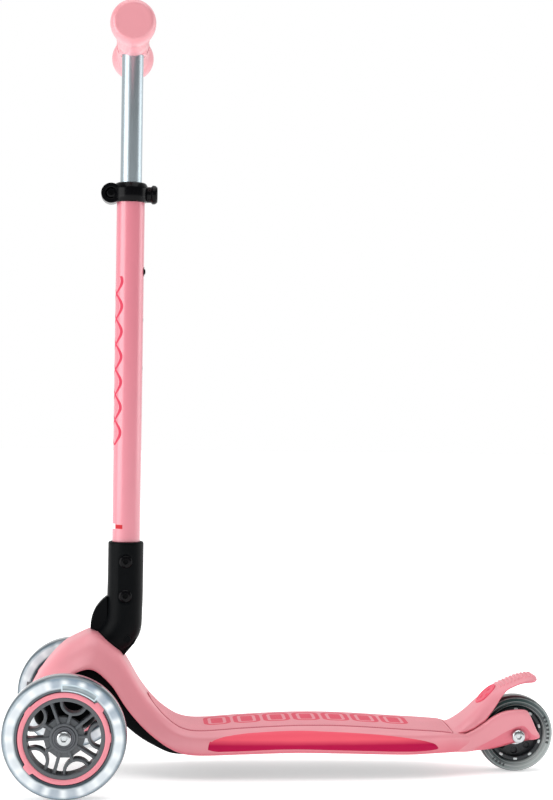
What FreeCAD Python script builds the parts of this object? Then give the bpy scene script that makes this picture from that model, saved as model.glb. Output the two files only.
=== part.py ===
"""Child's three-wheeled kick scooter with a folding, height-adjustable T-bar.

Units are millimetres. The origin is on the ground under the middle of the scooter. -X is the
direction of travel, +Y is the rider's right-hand side and +Z is up. The T-bar is upright at its
highest setting. Each function below makes one sub-assembly and returns its named pieces.
"""
import FreeCAD, Part
import math
import os

V = FreeCAD.Vector
ORIGIN = V(0, 0, 0)
X_AXIS = V(1, 0, 0)
Y_AXIS = V(0, 1, 0)
Z_AXIS = V(0, 0, 1)

# ---- wheels and stance ----
WHEELBASE = 467.0
FRONT_R = 60.5
REAR_R = 40.0
WHEEL_HALF = 12.0
TRACK_HALF = 126.0
FRONT_X = (FRONT_R - REAR_R - WHEELBASE) / 2
REAR_X = FRONT_X + WHEELBASE
AXLE_R = 4.0
RUN_GAP = 0.04
SIDE_GAP = 0.3
BEARING_R = 11.0
BEARING_IN = 2.8
BEARING_OUT = 9.8

# ---- front wheel: tyre, coloured ring, spoked hub ----
RING_OUT = 44.3
RING_IN = 39.5
RIM_IN = 35.5
BOSS_R = 14.0
SPOKES = 5
BOWL_R = 12.4
BOWL_CENTRE = 36.1

# ---- stem ----
STEM_X = FRONT_X + 56.5
TUBE_R = 14.5
TUBE_BORE = 12.9
INNER_R = 11.1
INNER_BORE = 9.6
SLEEVE_R = 18.3
SLEEVE_TOP = 238.5
TUBE_FOOT = 173.0
TUBE_TOP = 606.0
COLLAR_LOW = 588.8
COLLAR_TOP = 609.0
SNAP_Z = 517.5
SNAP_R = 4.0
HEIGHT_STEP = 50.0
STEM_BOLT_Z = (183.1, 218.5)

# ---- handlebar ----
HANDLE_Z = 755.0
HANDLE_END = 109.0
CROSSBAR_R = 11.0
GRIP_IN = 20.3
GRIP_R = 17.0
BALL_R = 22.5

# ---- fold joint: a sloping seat on the nose with its hinge pin just above the rear edge ----
SEAT_FRONT = V(-200.0, 0, 151.0)
SEAT_REAR = V(-169.4, 0, 125.0)
FOLD_PIN = V(-164.0, 0, 139.0)
FOLD_PIN_R = 3.5
LUG_R = 9.0
LUG_HALF = 8.0
HEEL_R = 14.0
FOLD_ANGLE = 92.0

# ---- lean-to-steer pivot: its upper end leans towards the front ----
KINGPIN_TILT = 35.0
KINGPIN_FOOT = V(FRONT_X + 8.0, 0, 55.0)
KINGPIN_R = 4.0
TRUCK_HUB_R = 15.0
TRUCK_HUB = (-9.0, 16.0)
HOUSING_R = 17.0
BEAM_END = 110.0

# ---- rear brake ----
BRAKE_PIN = V(187.0, 0, 38.0)
BRAKE_PIN_R = 2.5
BRAKE_BARREL_R = 6.0
TYRE_CLEARANCE = 3.0

# ---- deck skin ----
WALL = 3.0
PAD_REAR = 172.0
PAD_HALF = 38.0
PAD_DEPTH = 2.0
PAD_PROUD = 0.8
LINER_GAP = 0.3
HOLLOW_DROP = 40.0

# Deck skin sections, rear to front:
# x, top z, top half-width, shoulder z, shoulder half-width, bottom z, bottom half-width
SKIN = [
    (198, 44.0, 26.0, 40.0, 28.5, 26.5, 27.0),
    (172, 47.0, 37.5, 42.5, 42.0, 26.5, 39.0),
    (120, 50.5, 38.5, 45.5, 50.5, 26.0, 49.5),
    (60, 54.3, 38.5, 49.5, 54.0, 28.0, 53.5),
    (10, 54.3, 38.5, 50.0, 55.0, 29.0, 54.5),
    (-45, 51.5, 38.5, 47.0, 54.0, 27.5, 54.0),
    (-85, 49.0, 38.5, 43.5, 51.5, 25.8, 51.5),
    (-105, 51.5, 38.0, 44.5, 49.0, 27.0, 49.0),
    (-120, 59.5, 36.5, 50.5, 46.0, 32.5, 47.0),
    (-135, 73.5, 34.0, 63.0, 42.0, 42.5, 44.5),
    (-150, 91.5, 31.0, 79.0, 38.5, 56.0, 43.0),
    (-165, 117.0, 28.0, 99.0, 37.0, 74.0, 43.0),
    (-180, 141.0, 25.5, 118.0, 37.5, 96.5, 45.0),
    (-198, 152.5, 24.5, 130.0, 40.0, 111.0, 49.0),
    (-214, 147.0, 26.0, 127.0, 44.0, 110.5, 54.0),
    (-230, 136.0, 29.0, 117.0, 47.5, 101.0, 58.0),
    (-246, 119.5, 31.0, 102.0, 49.0, 86.0, 59.0),
    (-260, 99.0, 31.0, 84.5, 47.0, 70.5, 56.0),
    (-271, 78.0, 28.0, 69.0, 41.0, 60.0, 48.0),
]
SKIN_FRONT = -271.0

# How low the black liner inside the skin reaches, rear to front: x, bottom z
LINER_LOW = [(171, 25.8), (120, 25.0), (60, 26.5), (10, 27.5), (-45, 26.5), (-85, 25.0), (-105, 25.0),
             (-120, 26.5), (-135, 33.0), (-150, 41.5), (-165, 54.0), (-180, 74.0), (-198, 86.0),
             (-214, 88.0), (-230, 88.0), (-246, 84.0)]

# Brake fender sections, front to rear: x, top z, underside z, half-width
FENDER = [
    (173.5, 47.4, 44.0, 36.0),
    (181, 51.4, 46.0, 33.5),
    (190, 58.0, 48.5, 30.0),
    (199, 66.0, 52.0, 26.8),
    (207, 75.2, 56.5, 24.2),
    (215, 83.6, 63.0, 22.4),
    (222, 89.0, 71.0, 21.2),
    (229, 92.6, 80.4, 20.6),
    (236, 95.0, 86.5, 20.2),
    (243, 96.8, 89.5, 20.0),
    (251, 98.4, 92.5, 19.4),
    (258, 99.4, 95.5, 17.8),
    (264, 99.3, 97.0, 14.0),
]

# Rear fork arm sections, front to rear: x, bottom z, top z, outer half-width
FORK = [
    (176, 26.6, 42.8, 38.0),
    (186, 26.6, 43.2, 34.0),
    (196, 26.6, 46.4, 30.6),
    (206, 26.7, 51.2, 27.6),
    (219, 27.2, 60.4, 25.4),
    (232, 29.6, 66.6, 24.6),
    (246, 32.8, 67.4, 24.2),
    (254, 34.8, 65.2, 24.0),
    (261, 36.8, 52.5, 23.8),
    (268, 39.2, 42.4, 23.4),
]
FORK_IN = 15.0


# ---- small helpers ----
def moved(shape, x=0.0, y=0.0, z=0.0):
    copy = shape.copy()
    copy.translate(V(x, y, z))
    return copy


def turned(shape, centre, axis, angle):
    copy = shape.copy()
    copy.rotate(centre, axis, angle)
    return copy


def mirrored(shape):
    """The other-hand copy across the scooter's centre plane."""
    return shape.mirror(ORIGIN, Y_AXIS)


def box(x0, x1, half_y, z0, z1):
    """A block that is centred on the scooter's centre plane."""
    return Part.makeBox(x1 - x0, 2 * half_y, z1 - z0, V(x0, -half_y, z0))


def rod(radius, start, end):
    return Part.makeCylinder(radius, (end - start).Length, start, end - start)


def cross_rod(radius, centre, y0, y1):
    """A cylinder along Y through a point of the centre plane."""
    return rod(radius, V(centre.x, y0, centre.z), V(centre.x, y1, centre.z))


def joined(*shapes):
    shape = shapes[0]
    if len(shapes) > 1:
        shape = shape.fuse(list(shapes[1:]))
    return shape.removeSplitter()


def biggest(shape):
    return max(shape.Solids, key=lambda solid: solid.Volume)


def around_y(points):
    """A solid of revolution about the Y axis from (radius, y) points."""
    ends = [V(r, y, 0) for r, y in points]
    return Part.Face(Part.makePolygon(ends + ends[:1])).revolve(ORIGIN, Y_AXIS, 360)


def around_z(points):
    """A solid of revolution about the Z axis from (radius, z) points."""
    ends = [V(r, 0, z) for r, z in points]
    return Part.Face(Part.makePolygon(ends + ends[:1])).revolve(ORIGIN, Z_AXIS, 360)


def washer(outer, inner, y0, y1):
    return around_y([(inner, y0), (outer, y0), (outer, y1), (inner, y1)])


def side_prism(points, half_y):
    """An (x, z) outline carried the same distance to both sides of the centre plane."""
    ends = [V(x, -half_y, z) for x, z in points]
    return Part.Face(Part.makePolygon(ends + ends[:1])).extrude(V(0, 2 * half_y, 0))


def loft(sections, ruled=False):
    wires = [Part.makePolygon(corners + corners[:1]) for corners in sections]
    return Part.makeLoft(wires, True, ruled)


def both_sides(x, half):
    """A closed ring of corners at one x from the right-hand half listed bottom to top."""
    right = [V(x, y, z) for y, z in half]
    left = [V(x, -y, z) for y, z in reversed(half)]
    return right + left


def skin_section(row, inset=0.0, low=None):
    """The ten-cornered deck section, drawn in by an inset and optionally reaching lower."""
    x, top, top_y, shoulder, shoulder_y, bottom, bottom_y = row
    top -= inset
    shoulder -= inset * 0.5
    top_y -= inset * 0.4
    shoulder_y -= inset
    bottom_y -= inset
    lowest = (bottom_y - 4.0, bottom) if low is None else (bottom_y, low)
    half = [
        lowest,
        (bottom_y, bottom + 4.0),
        (shoulder_y, shoulder),
        (0.5 * (top_y + shoulder_y) + 1.0, top - 0.3 * (top - shoulder)),
        (top_y - 5.0, top),
    ]
    return both_sides(x, half)


def skin_loft(inset=0.0, low_drop=None, first=198.0, last=SKIN_FRONT):
    rows = [row for row in SKIN if last <= row[0] <= first]
    lows = [None if low_drop is None else row[5] - low_drop for row in rows]
    return loft([skin_section(row, inset, low) for row, low in zip(rows, lows)], True)


def seat_along():
    along = SEAT_REAR - SEAT_FRONT
    along.normalize()
    return along


def seat_up():
    along = seat_along()
    return V(-along.z, 0, along.x)


def seat_block(start, end, low, high, half_y):
    """A block measured from the seat's front edge: along the seat and square to it."""
    along = seat_along()
    up = seat_up()
    corners = [SEAT_FRONT + along * a + up * h
               for a, h in ((start, low), (end, low), (end, high), (start, high))]
    return side_prism([(c.x, c.z) for c in corners], half_y)


def on_kingpin(distance):
    tilt = math.radians(KINGPIN_TILT)
    return KINGPIN_FOOT + V(-math.sin(tilt), 0, math.cos(tilt)) * distance


def stem_point(z):
    return V(STEM_X, 0, z)


# ---- fasteners and springs ----
def hex_socket(across_r, y0, depth):
    corners = []
    for angle in range(0, 360, 60):
        turn = math.radians(angle)
        corners.append(V(across_r * math.cos(turn), y0, across_r * math.sin(turn)))
    return Part.Face(Part.makePolygon(corners + corners[:1])).extrude(V(0, depth, 0))


def button_bolt(shank_r, head_r, head_h, length):
    """A domed socket bolt: the head's underside at the origin, its shank along +Y."""
    profile = [(0, -head_h), (head_r * 0.6, -head_h), (head_r * 0.9, -head_h * 0.6), (head_r, -head_h * 0.15),
               (head_r, 0), (shank_r, 0), (shank_r, length), (0, length)]
    return around_y(profile).cut(hex_socket(head_r * 0.36, -head_h - 0.1, head_h * 0.75))


def barrel_nut(bore, outer, height):
    """A round nut: its seat at the origin, its body along +Y."""
    profile = [(bore, 0), (outer, 0), (outer, height * 0.6), (outer * 0.7, height), (bore, height)]
    return around_y(profile)


def coil(start, end, radius, wire, turns):
    """A compression spring of round wire between two points."""
    direction = end - start
    length = direction.Length - wire
    helix = Part.makeHelix(length / turns, length, radius)
    profile = Part.Wire(Part.makeCircle(wire / 2, V(radius, 0, 0), Y_AXIS))
    spring = Part.Wire(helix).makePipeShell([profile], True, True)
    turn = FreeCAD.Rotation(Z_AXIS, direction)
    direction.normalize()
    spring.Placement = FreeCAD.Placement(start + direction * (wire / 2), turn)
    return spring


# ---- deck ----
def pad_outline():
    """The standing pad seen from above: straight sides and a rounded tongue at the front."""
    curve = Part.BSplineCurve()
    curve.interpolate([V(-92, -PAD_HALF, 0), V(-112, -33.5, 0), V(-128, -23, 0), V(-138, -10, 0),
                       V(-141, 0, 0), V(-138, 10, 0), V(-128, 23, 0), V(-112, 33.5, 0), V(-92, PAD_HALF, 0)])
    corners = [V(-92, PAD_HALF, 0), V(PAD_REAR, PAD_HALF - 1, 0), V(PAD_REAR, 1 - PAD_HALF, 0),
               V(-92, -PAD_HALF, 0)]
    lines = [Part.LineSegment(a, b).toShape() for a, b in zip(corners, corners[1:])]
    return Part.Face(Part.Wire(Part.sortEdges([curve.toShape()] + lines)[0]))


def trim_outline(y):
    """The leaf-shaped side insert seen from the side."""
    front = V(-80, y, 32.6)
    rear = V(153, y, 32.2)
    upper = Part.BSplineCurve()
    upper.interpolate([front, V(-74, y, 38.5), V(-52, y, 43.0), V(-22, y, 46.0), V(18, y, 47.6),
                       V(68, y, 46.6), V(108, y, 43.6), V(136, y, 39.4), rear])
    lower = Part.BSplineCurve()
    lower.interpolate([front, V(-36, y, 34.4), V(16, y, 35.2), V(90, y, 33.6), rear])
    return Part.Face(Part.Wire(Part.sortEdges([upper.toShape(), lower.toShape()])[0]))


def fork_arms():
    sections = []
    for x, low, high, outer in FORK:
        middle = (low + high) / 2
        sections.append([V(x, FORK_IN, low), V(x, outer - 1.5, low), V(x, outer, middle),
                         V(x, outer - 3.0, high), V(x, FORK_IN, high)])
    arm = loft(sections, True)
    return arm, mirrored(arm)


def brake_bay():
    """The open space in the deck's rear end where the brake fender lies and hinges."""
    rest = [both_sides(x, [(half, 42.9), (half, 90)]) for x, half in ((172.6, 42), (186, 40), (201, 40))]
    well = box(179, 202, 14.4, 30.5, 60)
    return [loft(rest, True), well]


def rear_wheel_space():
    return cross_rod(REAR_R + 4.5, V(REAR_X, 0, REAR_R), -14.8, 14.8)


def deck():
    outer = skin_loft()
    hollow = skin_loft(WALL, HOLLOW_DROP, 172.0).cut(box(-300, SKIN_FRONT + WALL, 90, 0, 200))
    shell = outer.cut(hollow)
    shell = shell.cut([seat_block(-60, 130, 0, 120, 90), cross_rod(HEEL_R + SIDE_GAP, FOLD_PIN, -90, 90),
                       seat_block(1.2, 45.2, -40, 5, 12.4)])
    shell = joined(biggest(shell), *fork_arms())
    holes = [cross_rod(AXLE_R, V(REAR_X, 0, REAR_R), -40, 40), cross_rod(BRAKE_PIN_R, BRAKE_PIN, -24, 24),
             lock_button_space()]
    shell = shell.cut(brake_bay() + [rear_wheel_space()] + holes)

    pad_column = moved(pad_outline().extrude(V(0, 0, 64)), 0, 0, 38)
    under_pad = skin_loft(PAD_DEPTH, None, 198, -150)
    pad = biggest(pad_column.common(skin_loft(-PAD_PROUD, None, 198, -150)).cut(under_pad))
    shell = shell.cut(pad_column.cut(under_pad))

    leaf = trim_outline(-70).extrude(V(0, 40, 0))
    trim = leaf.common(skin_loft(-0.5, None, 172, -105)).cut(skin_loft(1.5, None, 172, -105))
    trim = biggest(trim)
    shell = biggest(shell.cut([trim, mirrored(trim)]))
    return {"deck_shell": shell, "deck_pad": pad, "side_trim_left": trim, "side_trim_right": mirrored(trim)}


def liner_loft():
    """The hollow's own shape a little smaller, trimmed along the liner's lower edge."""
    rear, front = LINER_LOW[0], LINER_LOW[-1]
    block = side_prism(LINER_LOW + [(front[0], 200), (rear[0], 200)], 90)
    return skin_loft(WALL + LINER_GAP, HOLLOW_DROP, 172, front[0]).common(block)


def screw_places():
    return [V(x, side * 30, 0) for x in (150, 90, 20, -50, -95) for side in (-1, 1)]


def under_frame():
    """The black carrier that fills the skin, with the kingpin housing under its nose."""
    liner = liner_loft()
    housing = rod(HOUSING_R, on_kingpin(TRUCK_HUB[1] + 0.5), on_kingpin(44))
    nose_space = seat_block(-60, 130, -WALL - LINER_GAP, 120, 90)
    frame = joined(liner, housing).cut([nose_space, cross_rod(HEEL_R + 3.6, FOLD_PIN, -90, 90)])
    tongue_space = seat_block(0.5, 45.4, -32, 5, 12.5)
    base_space = box(-197, -173, 12.5, 88, 126)
    bore = rod(KINGPIN_R, on_kingpin(0), on_kingpin(70))
    nut_space = rod(7.05, on_kingpin(38), on_kingpin(80))
    frame = frame.cut([tongue_space, base_space, bore, nut_space, lock_button_space()])
    heads = []
    screws = []
    for place in screw_places():
        floor = liner_floor(place.x)
        head = rod(4.0, V(place.x, place.y, floor + 0.4), V(place.x, place.y, floor + 2.4))
        shank = rod(1.8, V(place.x, place.y, floor + 2.4), V(place.x, place.y, floor + 12))
        screws.append(joined(head, shank))
        heads.append(rod(4.0, V(place.x, place.y, floor - 2), V(place.x, place.y, floor + 2.4)))
        heads.append(shank)
    frame = biggest(frame.cut(heads))
    return {"under_frame": frame, "under_screws": Part.makeCompound(screws)}


def liner_floor(x):
    """Height of the liner's underside at one x, between its listed sections."""
    for (x1, z1), (x0, z0) in zip(LINER_LOW, LINER_LOW[1:]):
        if x0 <= x <= x1:
            return z0 + (z1 - z0) * (x - x0) / (x1 - x0)
    return LINER_LOW[-1][1]


# ---- fold joint ----
def fold_base():
    """The hinge casting in the nose: one upright lug on a buried foot, with its pin and catch bar."""
    foot = box(-196.8, -173.2, 12.3, 90, 108)
    lug = joined(cross_rod(LUG_R, FOLD_PIN, -LUG_HALF, LUG_HALF),
                 side_prism([(-170.9, 144.8), (-157.1, 133.2), (-181.5, 104.5), (-196.5, 104.5), (-196.5, 114)], LUG_HALF))
    wall = joined(Part.makeBox(16, 3.6, 32, V(-196.5, 8.6, 100)), Part.makeBox(16, 3.6, 32, V(-196.5, -12.2, 100)))
    wall = wall.cut(seat_block(-60, 130, -WALL - LINER_GAP, 120, 90))
    catch_place = V(-190.0, 0, 129.0)
    base = foot.fuse([lug] + wall.Solids).removeSplitter()
    base = base.cut([cross_rod(FOLD_PIN_R, FOLD_PIN, -20, 20), cross_rod(2.5, catch_place, -20, 20)])
    return {
        "fold_base": biggest(base),
        "fold_pin": cross_rod(FOLD_PIN_R, FOLD_PIN, -17.5, 17.5),
        "fold_catch": cross_rod(2.5, catch_place, -12.2, 12.2),
    }


def lug_sweep():
    """The room in the elbow that the fixed lug needs while the stem folds."""
    room = LUG_R + 0.6
    down = seat_up() * -1
    along = seat_along() * -1
    turn = FreeCAD.Rotation(Y_AXIS, -FOLD_ANGLE - 12)
    last = turn.multVec(down)
    last_side = turn.multVec(along) * -1
    corners = [FOLD_PIN + along * room, FOLD_PIN + along * room + down * 60, FOLD_PIN + (down + last) * 60,
               FOLD_PIN + last_side * room + last * 60, FOLD_PIN + last_side * room]
    wedge = side_prism([(c.x, c.z) for c in corners], LUG_HALF + SIDE_GAP)
    return wedge.fuse(cross_rod(room, FOLD_PIN, -LUG_HALF - SIDE_GAP, LUG_HALF + SIDE_GAP))


def elbow():
    """The black stem foot: a sleeve for the tube above a curved heel that rests on the nose."""
    side = [(-184.9, 205), (-186, 179.4), (-185.9, 167), (-187.2, 159), (-192.7, 152.2), (-200, 151.2),
            (-169.4, 125.2), (-166, 125), (-159.7, 130.6), (-152.7, 143.1), (-149.8, 154.5), (-148.4, 170),
            (-148.3, 205)]
    sleeve = moved(around_z([(0, 150), (SLEEVE_R - 0.8, 150), (SLEEVE_R - 0.8, 205), (SLEEVE_R, 212),
                             (SLEEVE_R, SLEEVE_TOP - 2), (SLEEVE_R - 2, SLEEVE_TOP), (0, SLEEVE_TOP)]), STEM_X)
    heel = side_prism(side, 18.0).common(loft([
        [V(-210, y, z) for y, z in ring] for ring in [elbow_ring()]] + [
        [V(-140, y, z) for y, z in ring] for ring in [elbow_ring()]], True))
    body = joined(sleeve, heel)
    below_seat = seat_block(-60, 130, -80, SIDE_GAP, 90)
    heel_end = box(-173.2, -140, 90, 90, 139).cut(cross_rod(HEEL_R, FOLD_PIN, -90, 90))
    bore = rod(TUBE_R, stem_point(TUBE_FOOT), stem_point(300))
    button_slot = side_prism([(-182.4, 150), (-182.4, 184), (-215, 184), (-215, 130), (-182.4, 130)], 7.3)
    spring_hole = rod(3.4, V(-184, 0, 158), V(-176, 0, 158))
    body = body.cut([below_seat, heel_end, bore, lug_sweep(), button_slot, spring_hole])
    body = body.cut([cross_rod(FOLD_PIN_R + RUN_GAP, FOLD_PIN, -17.8, 17.8)])
    for z in STEM_BOLT_Z:
        body = body.cut([cross_rod(3.0, stem_point(z), -20, 20), cross_rod(6.8, stem_point(z), -20, -15.6),
                         cross_rod(6.8, stem_point(z), 15.6, 20)])
    return biggest(body)


def elbow_ring():
    """The elbow's rounded outline seen along the scooter."""
    return [(12, 110), (17, 120), (18, 150), (17.5, 205), (-17.5, 205), (-18, 150), (-17, 120), (-12, 110)]


def stem():
    tube = rod(TUBE_R, stem_point(TUBE_FOOT), stem_point(TUBE_TOP))
    tube = tube.cut(rod(TUBE_BORE, stem_point(TUBE_FOOT - 1), stem_point(TUBE_TOP + 1)))
    holes = [rod(SNAP_R + 0.3, stem_point(SNAP_Z - HEIGHT_STEP * i), V(STEM_X + 20, 0, SNAP_Z - HEIGHT_STEP * i))
             for i in range(3)]
    bolt_holes = [cross_rod(3.0, stem_point(z), -20, 20) for z in STEM_BOLT_Z]
    tube = tube.cut(holes + bolt_holes)
    bush = around_z([(INNER_R + RUN_GAP, 556), (TUBE_BORE, 556), (TUBE_BORE, TUBE_TOP), (TUBE_R, TUBE_TOP),
                     (TUBE_R, 608.4), (INNER_R + RUN_GAP, 608.4)])
    bolts = []
    for z in STEM_BOLT_Z:
        bolt = moved(button_bolt(3.0, 6.7, 2.4, 31.0), STEM_X, -15.6, z)
        nut = moved(barrel_nut(3.0, 6.7, 2.4), STEM_X, 15.6, z)
        bolts += [bolt, nut]
    parts = {
        "stem_elbow": elbow(),
        "outer_tube": tube,
        "guide_bush": moved(bush, STEM_X),
        "stem_bolts": Part.makeCompound(bolts),
    }
    parts.update(clamp())
    parts.update(fold_button())
    return parts


def clamp():
    """The collar at the tube's top: a split band, a front boss for its bolt and a rear plug."""
    band = moved(around_z([(TUBE_R, COLLAR_LOW), (16.4, COLLAR_LOW), (16.4, COLLAR_TOP - 1),
                           (15.6, COLLAR_TOP), (TUBE_R, COLLAR_TOP)]), STEM_X)
    boss_centre = V(-186.2, 0, 597.0)
    boss = cross_rod(10.2, boss_centre, -11, 11)
    plug_seat = rod(9.6, V(STEM_X + 12, 0, 597.2), V(-139.2, 0, 597.2))
    tube_space = rod(TUBE_R, stem_point(500), stem_point(700))
    split = box(-200, -178, 0.9, 580, 615)
    band = joined(band, boss, plug_seat).cut([tube_space, split, cross_rod(2.5, boss_centre, -20, 20),
                                              cross_rod(5.7, boss_centre, -20, -7.5),
                                              cross_rod(5.7, boss_centre, 7.5, 20),
                                              rod(6.2, V(-142.2, 0, 597.2), V(-130, 0, 597.2))])
    bolt = moved(button_bolt(2.5, 5.6, 2.8, 15.0), boss_centre.x, -7.5, boss_centre.z)
    nut = moved(barrel_nut(2.5, 5.6, 2.8), boss_centre.x, 7.5, boss_centre.z)
    plug = rod(6.1, V(-142.2, 0, 597.2), V(-140.2, 0, 597.2))
    return {"clamp_collar": biggest(band), "clamp_bolt": Part.makeCompound([bolt, nut]), "clamp_plug": plug}


def fold_button():
    """The round-fronted release paddle in the elbow, its tongue reaching into the nose."""
    outline = [(-186.7, 182.4), (-190.8, 175.6), (-196.7, 166.3), (-200.2, 157.9), (-201.9, 153.2),
               (-198.2, 150.4), (-197.8, 141), (-193.4, 139), (-192.6, 151), (-186.7, 153)]
    paddle = side_prism(outline, 7.0)
    spring = coil(V(-186.5, 0, 158), V(-176.2, 0, 158), 2.4, 0.7, 6)
    return {"fold_button": paddle, "fold_button_spring": spring}


# ---- handlebar ----
def grip():
    profile = [(CROSSBAR_R, GRIP_IN), (GRIP_R + 1.5, GRIP_IN), (GRIP_R + 1.5, 24), (GRIP_R, 26), (GRIP_R, 70),
               (18.6, 78), (BALL_R - 0.8, 88), (BALL_R, 96), (BALL_R - 1.2, 103), (18.5, HANDLE_END),
               (0, HANDLE_END), (0, 104), (CROSSBAR_R, 104)]
    return moved(around_y(profile), STEM_X, 0, HANDLE_Z)


def handlebar():
    bar = cross_rod(CROSSBAR_R, V(STEM_X, 0, HANDLE_Z), -103.8, 103.8)
    bar = bar.cut(cross_rod(CROSSBAR_R - 1.6, V(STEM_X, 0, HANDLE_Z), -110, 110))
    tube = rod(INNER_R, stem_point(470), stem_point(743.8)).cut(rod(INNER_BORE, stem_point(460), stem_point(750)))
    tube = tube.cut([rod(SNAP_R + 0.05, stem_point(SNAP_Z), V(STEM_X + 20, 0, SNAP_Z)),
                     cross_rod(CROSSBAR_R, V(STEM_X, 0, HANDLE_Z), -30, 30)])
    hub = joined(cross_rod(17.5, V(STEM_X, 0, HANDLE_Z), -20, 20), rod(14.2, stem_point(735), stem_point(750)))
    hub = hub.cut([cross_rod(CROSSBAR_R, V(STEM_X, 0, HANDLE_Z), -30, 30),
                   rod(INNER_R, stem_point(730), stem_point(755))])
    leaf = box(STEM_X - 8.4, STEM_X - 7.6, 4.0, 492, 530)
    bend = box(STEM_X - 8.4, STEM_X + 2.8, 4.0, 529.2, 530)
    front_leaf = box(STEM_X + 2.0, STEM_X + 2.8, 4.0, 508, 530)
    right = grip()
    return {
        "inner_tube": tube,
        "crossbar": bar,
        "handle_hub": hub,
        "grip_right": right,
        "grip_left": mirrored(right),
        "snap_spring": joined(leaf, bend, front_leaf),
        "snap_button": rod(SNAP_R, V(STEM_X + 3.1, 0, SNAP_Z), V(STEM_X + 16.6, 0, SNAP_Z)),
    }


# ---- front truck ----
def truck():
    hub = rod(TRUCK_HUB_R, on_kingpin(TRUCK_HUB[0]), on_kingpin(TRUCK_HUB[1]))
    sections = []
    for y, half_x, half_z in ((6, 13, 11), (60, 11, 9), (BEAM_END, 9, 9)):
        corners = [(-half_x + 3, -half_z), (half_x - 3, -half_z), (half_x, -half_z + 3), (half_x, half_z - 3),
                   (half_x - 3, half_z), (-half_x + 3, half_z), (-half_x, half_z - 3), (-half_x, -half_z + 3)]
        sections.append([V(FRONT_X + x, y, FRONT_R + z) for x, z in corners])
    arm = loft(sections, True)
    axle_line = V(FRONT_X, 0, FRONT_R)
    boss = cross_rod(6.5, axle_line, BEAM_END - 1, TRACK_HALF - BEARING_OUT - SIDE_GAP)
    beam = joined(hub, arm, mirrored(arm), boss, mirrored(boss))
    bush_bore = rod(7.0, on_kingpin(TRUCK_HUB[0] - 1), on_kingpin(TRUCK_HUB[1] + 1))
    axle_bore = cross_rod(AXLE_R, axle_line, 80, 130)
    steer_room = rod(HOUSING_R + 8, on_kingpin(TRUCK_HUB[1]), on_kingpin(60))
    beam = beam.cut([bush_bore, axle_bore, mirrored(axle_bore), steer_room])
    bush = rod(7.0, on_kingpin(TRUCK_HUB[0]), on_kingpin(TRUCK_HUB[1]))
    bush = bush.cut(rod(KINGPIN_R + RUN_GAP, on_kingpin(TRUCK_HUB[0] - 1), on_kingpin(TRUCK_HUB[1] + 1)))
    head_seat = TRACK_HALF + BEARING_OUT + SIDE_GAP
    left_bolt = moved(button_bolt(AXLE_R, 7.5, 3.9, head_seat - 84), FRONT_X, -head_seat, FRONT_R)
    return {"truck_beam": beam, "truck_bush": bush,
            "front_axle_bolts": Part.makeCompound([left_bolt, mirrored(left_bolt)])}


def kingpin():
    """The pivot bolt with its washer and nut, and the rubber spring that centres the truck."""
    low = TRUCK_HUB[0] - SIDE_GAP
    shank = rod(KINGPIN_R, on_kingpin(low), on_kingpin(46))
    head = rod(8.5, on_kingpin(low - 4.5), on_kingpin(low))
    socket = rod(2.6, on_kingpin(low - 5), on_kingpin(low - 2))
    nut = rod(7.0, on_kingpin(38), on_kingpin(44)).cut(rod(KINGPIN_R, on_kingpin(30), on_kingpin(50)))
    return {"kingpin_bolt": joined(shank, head).cut(socket), "kingpin_nut": nut}


def lock_button_space():
    return rod(8.3, V(-290, 0, 86), V(-252, 0, 86))


def steering_lock():
    """The push button at the front of the nose that holds the truck straight."""
    body = rod(8.0, V(-274.6, 0, 86), V(-262, 0, 86))
    spring = coil(V(-261.5, 0, 86), V(-252.3, 0, 86), 4.5, 0.9, 5)
    return {"steering_lock_button": body, "steering_lock_spring": spring}


# ---- wheels ----
def tyre(inner, outer, half):
    return around_y([(inner, -half + 1.0), (outer - 7, -half), (outer - 2.6, -half + 1.6), (outer - 0.7, -half + 4.2),
                     (outer, -half + 8.0), (outer, half - 8.0), (outer - 0.7, half - 4.2),
                     (outer - 2.6, half - 1.6), (outer - 7, half), (inner, half - 1.0)])


def bearings_and_spacer():
    bearing = washer(BEARING_R, AXLE_R + RUN_GAP, BEARING_IN, BEARING_OUT)
    spacer = washer(6.0, AXLE_R + RUN_GAP, -BEARING_IN, BEARING_IN)
    return Part.makeCompound([bearing, mirrored(bearing)]), spacer


def hub_bores(boss_half):
    return [washer(BEARING_R, 0, BEARING_IN, boss_half + 1), washer(BEARING_R, 0, -boss_half - 1, -BEARING_IN),
            washer(6.5, 0, -BEARING_IN - 1, BEARING_IN + 1)]


def front_hub():
    """Spoked wheel centre: straight spokes with wine-glass shaped ones between them."""
    boss = washer(BOSS_R, 0, -BEARING_OUT, BEARING_OUT)
    rim = washer(RING_IN, RIM_IN, -10, 10)
    inside = washer(RIM_IN + 1, 0, -12, 12)
    pieces = [boss, rim]
    for i in range(SPOKES):
        straight = Part.makeBox(RIM_IN - BOSS_R + 2, 12, 4.6, V(BOSS_R - 1, -6, -2.3))
        stem_part = Part.makeBox(11, 12, 4.6, V(BOSS_R - 1, -6, -2.3))
        bowl = moved(washer(BOWL_R + 1.6, BOWL_R - 1.6, -6, 6), BOWL_CENTRE).common(inside)
        first = -105 + i * 360 / SPOKES
        pieces.append(turned(straight, ORIGIN, Y_AXIS, first))
        pieces.append(turned(joined(stem_part, bowl), ORIGIN, Y_AXIS, first + 180 / SPOKES))
    return joined(*pieces).cut(hub_bores(BEARING_OUT))


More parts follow.
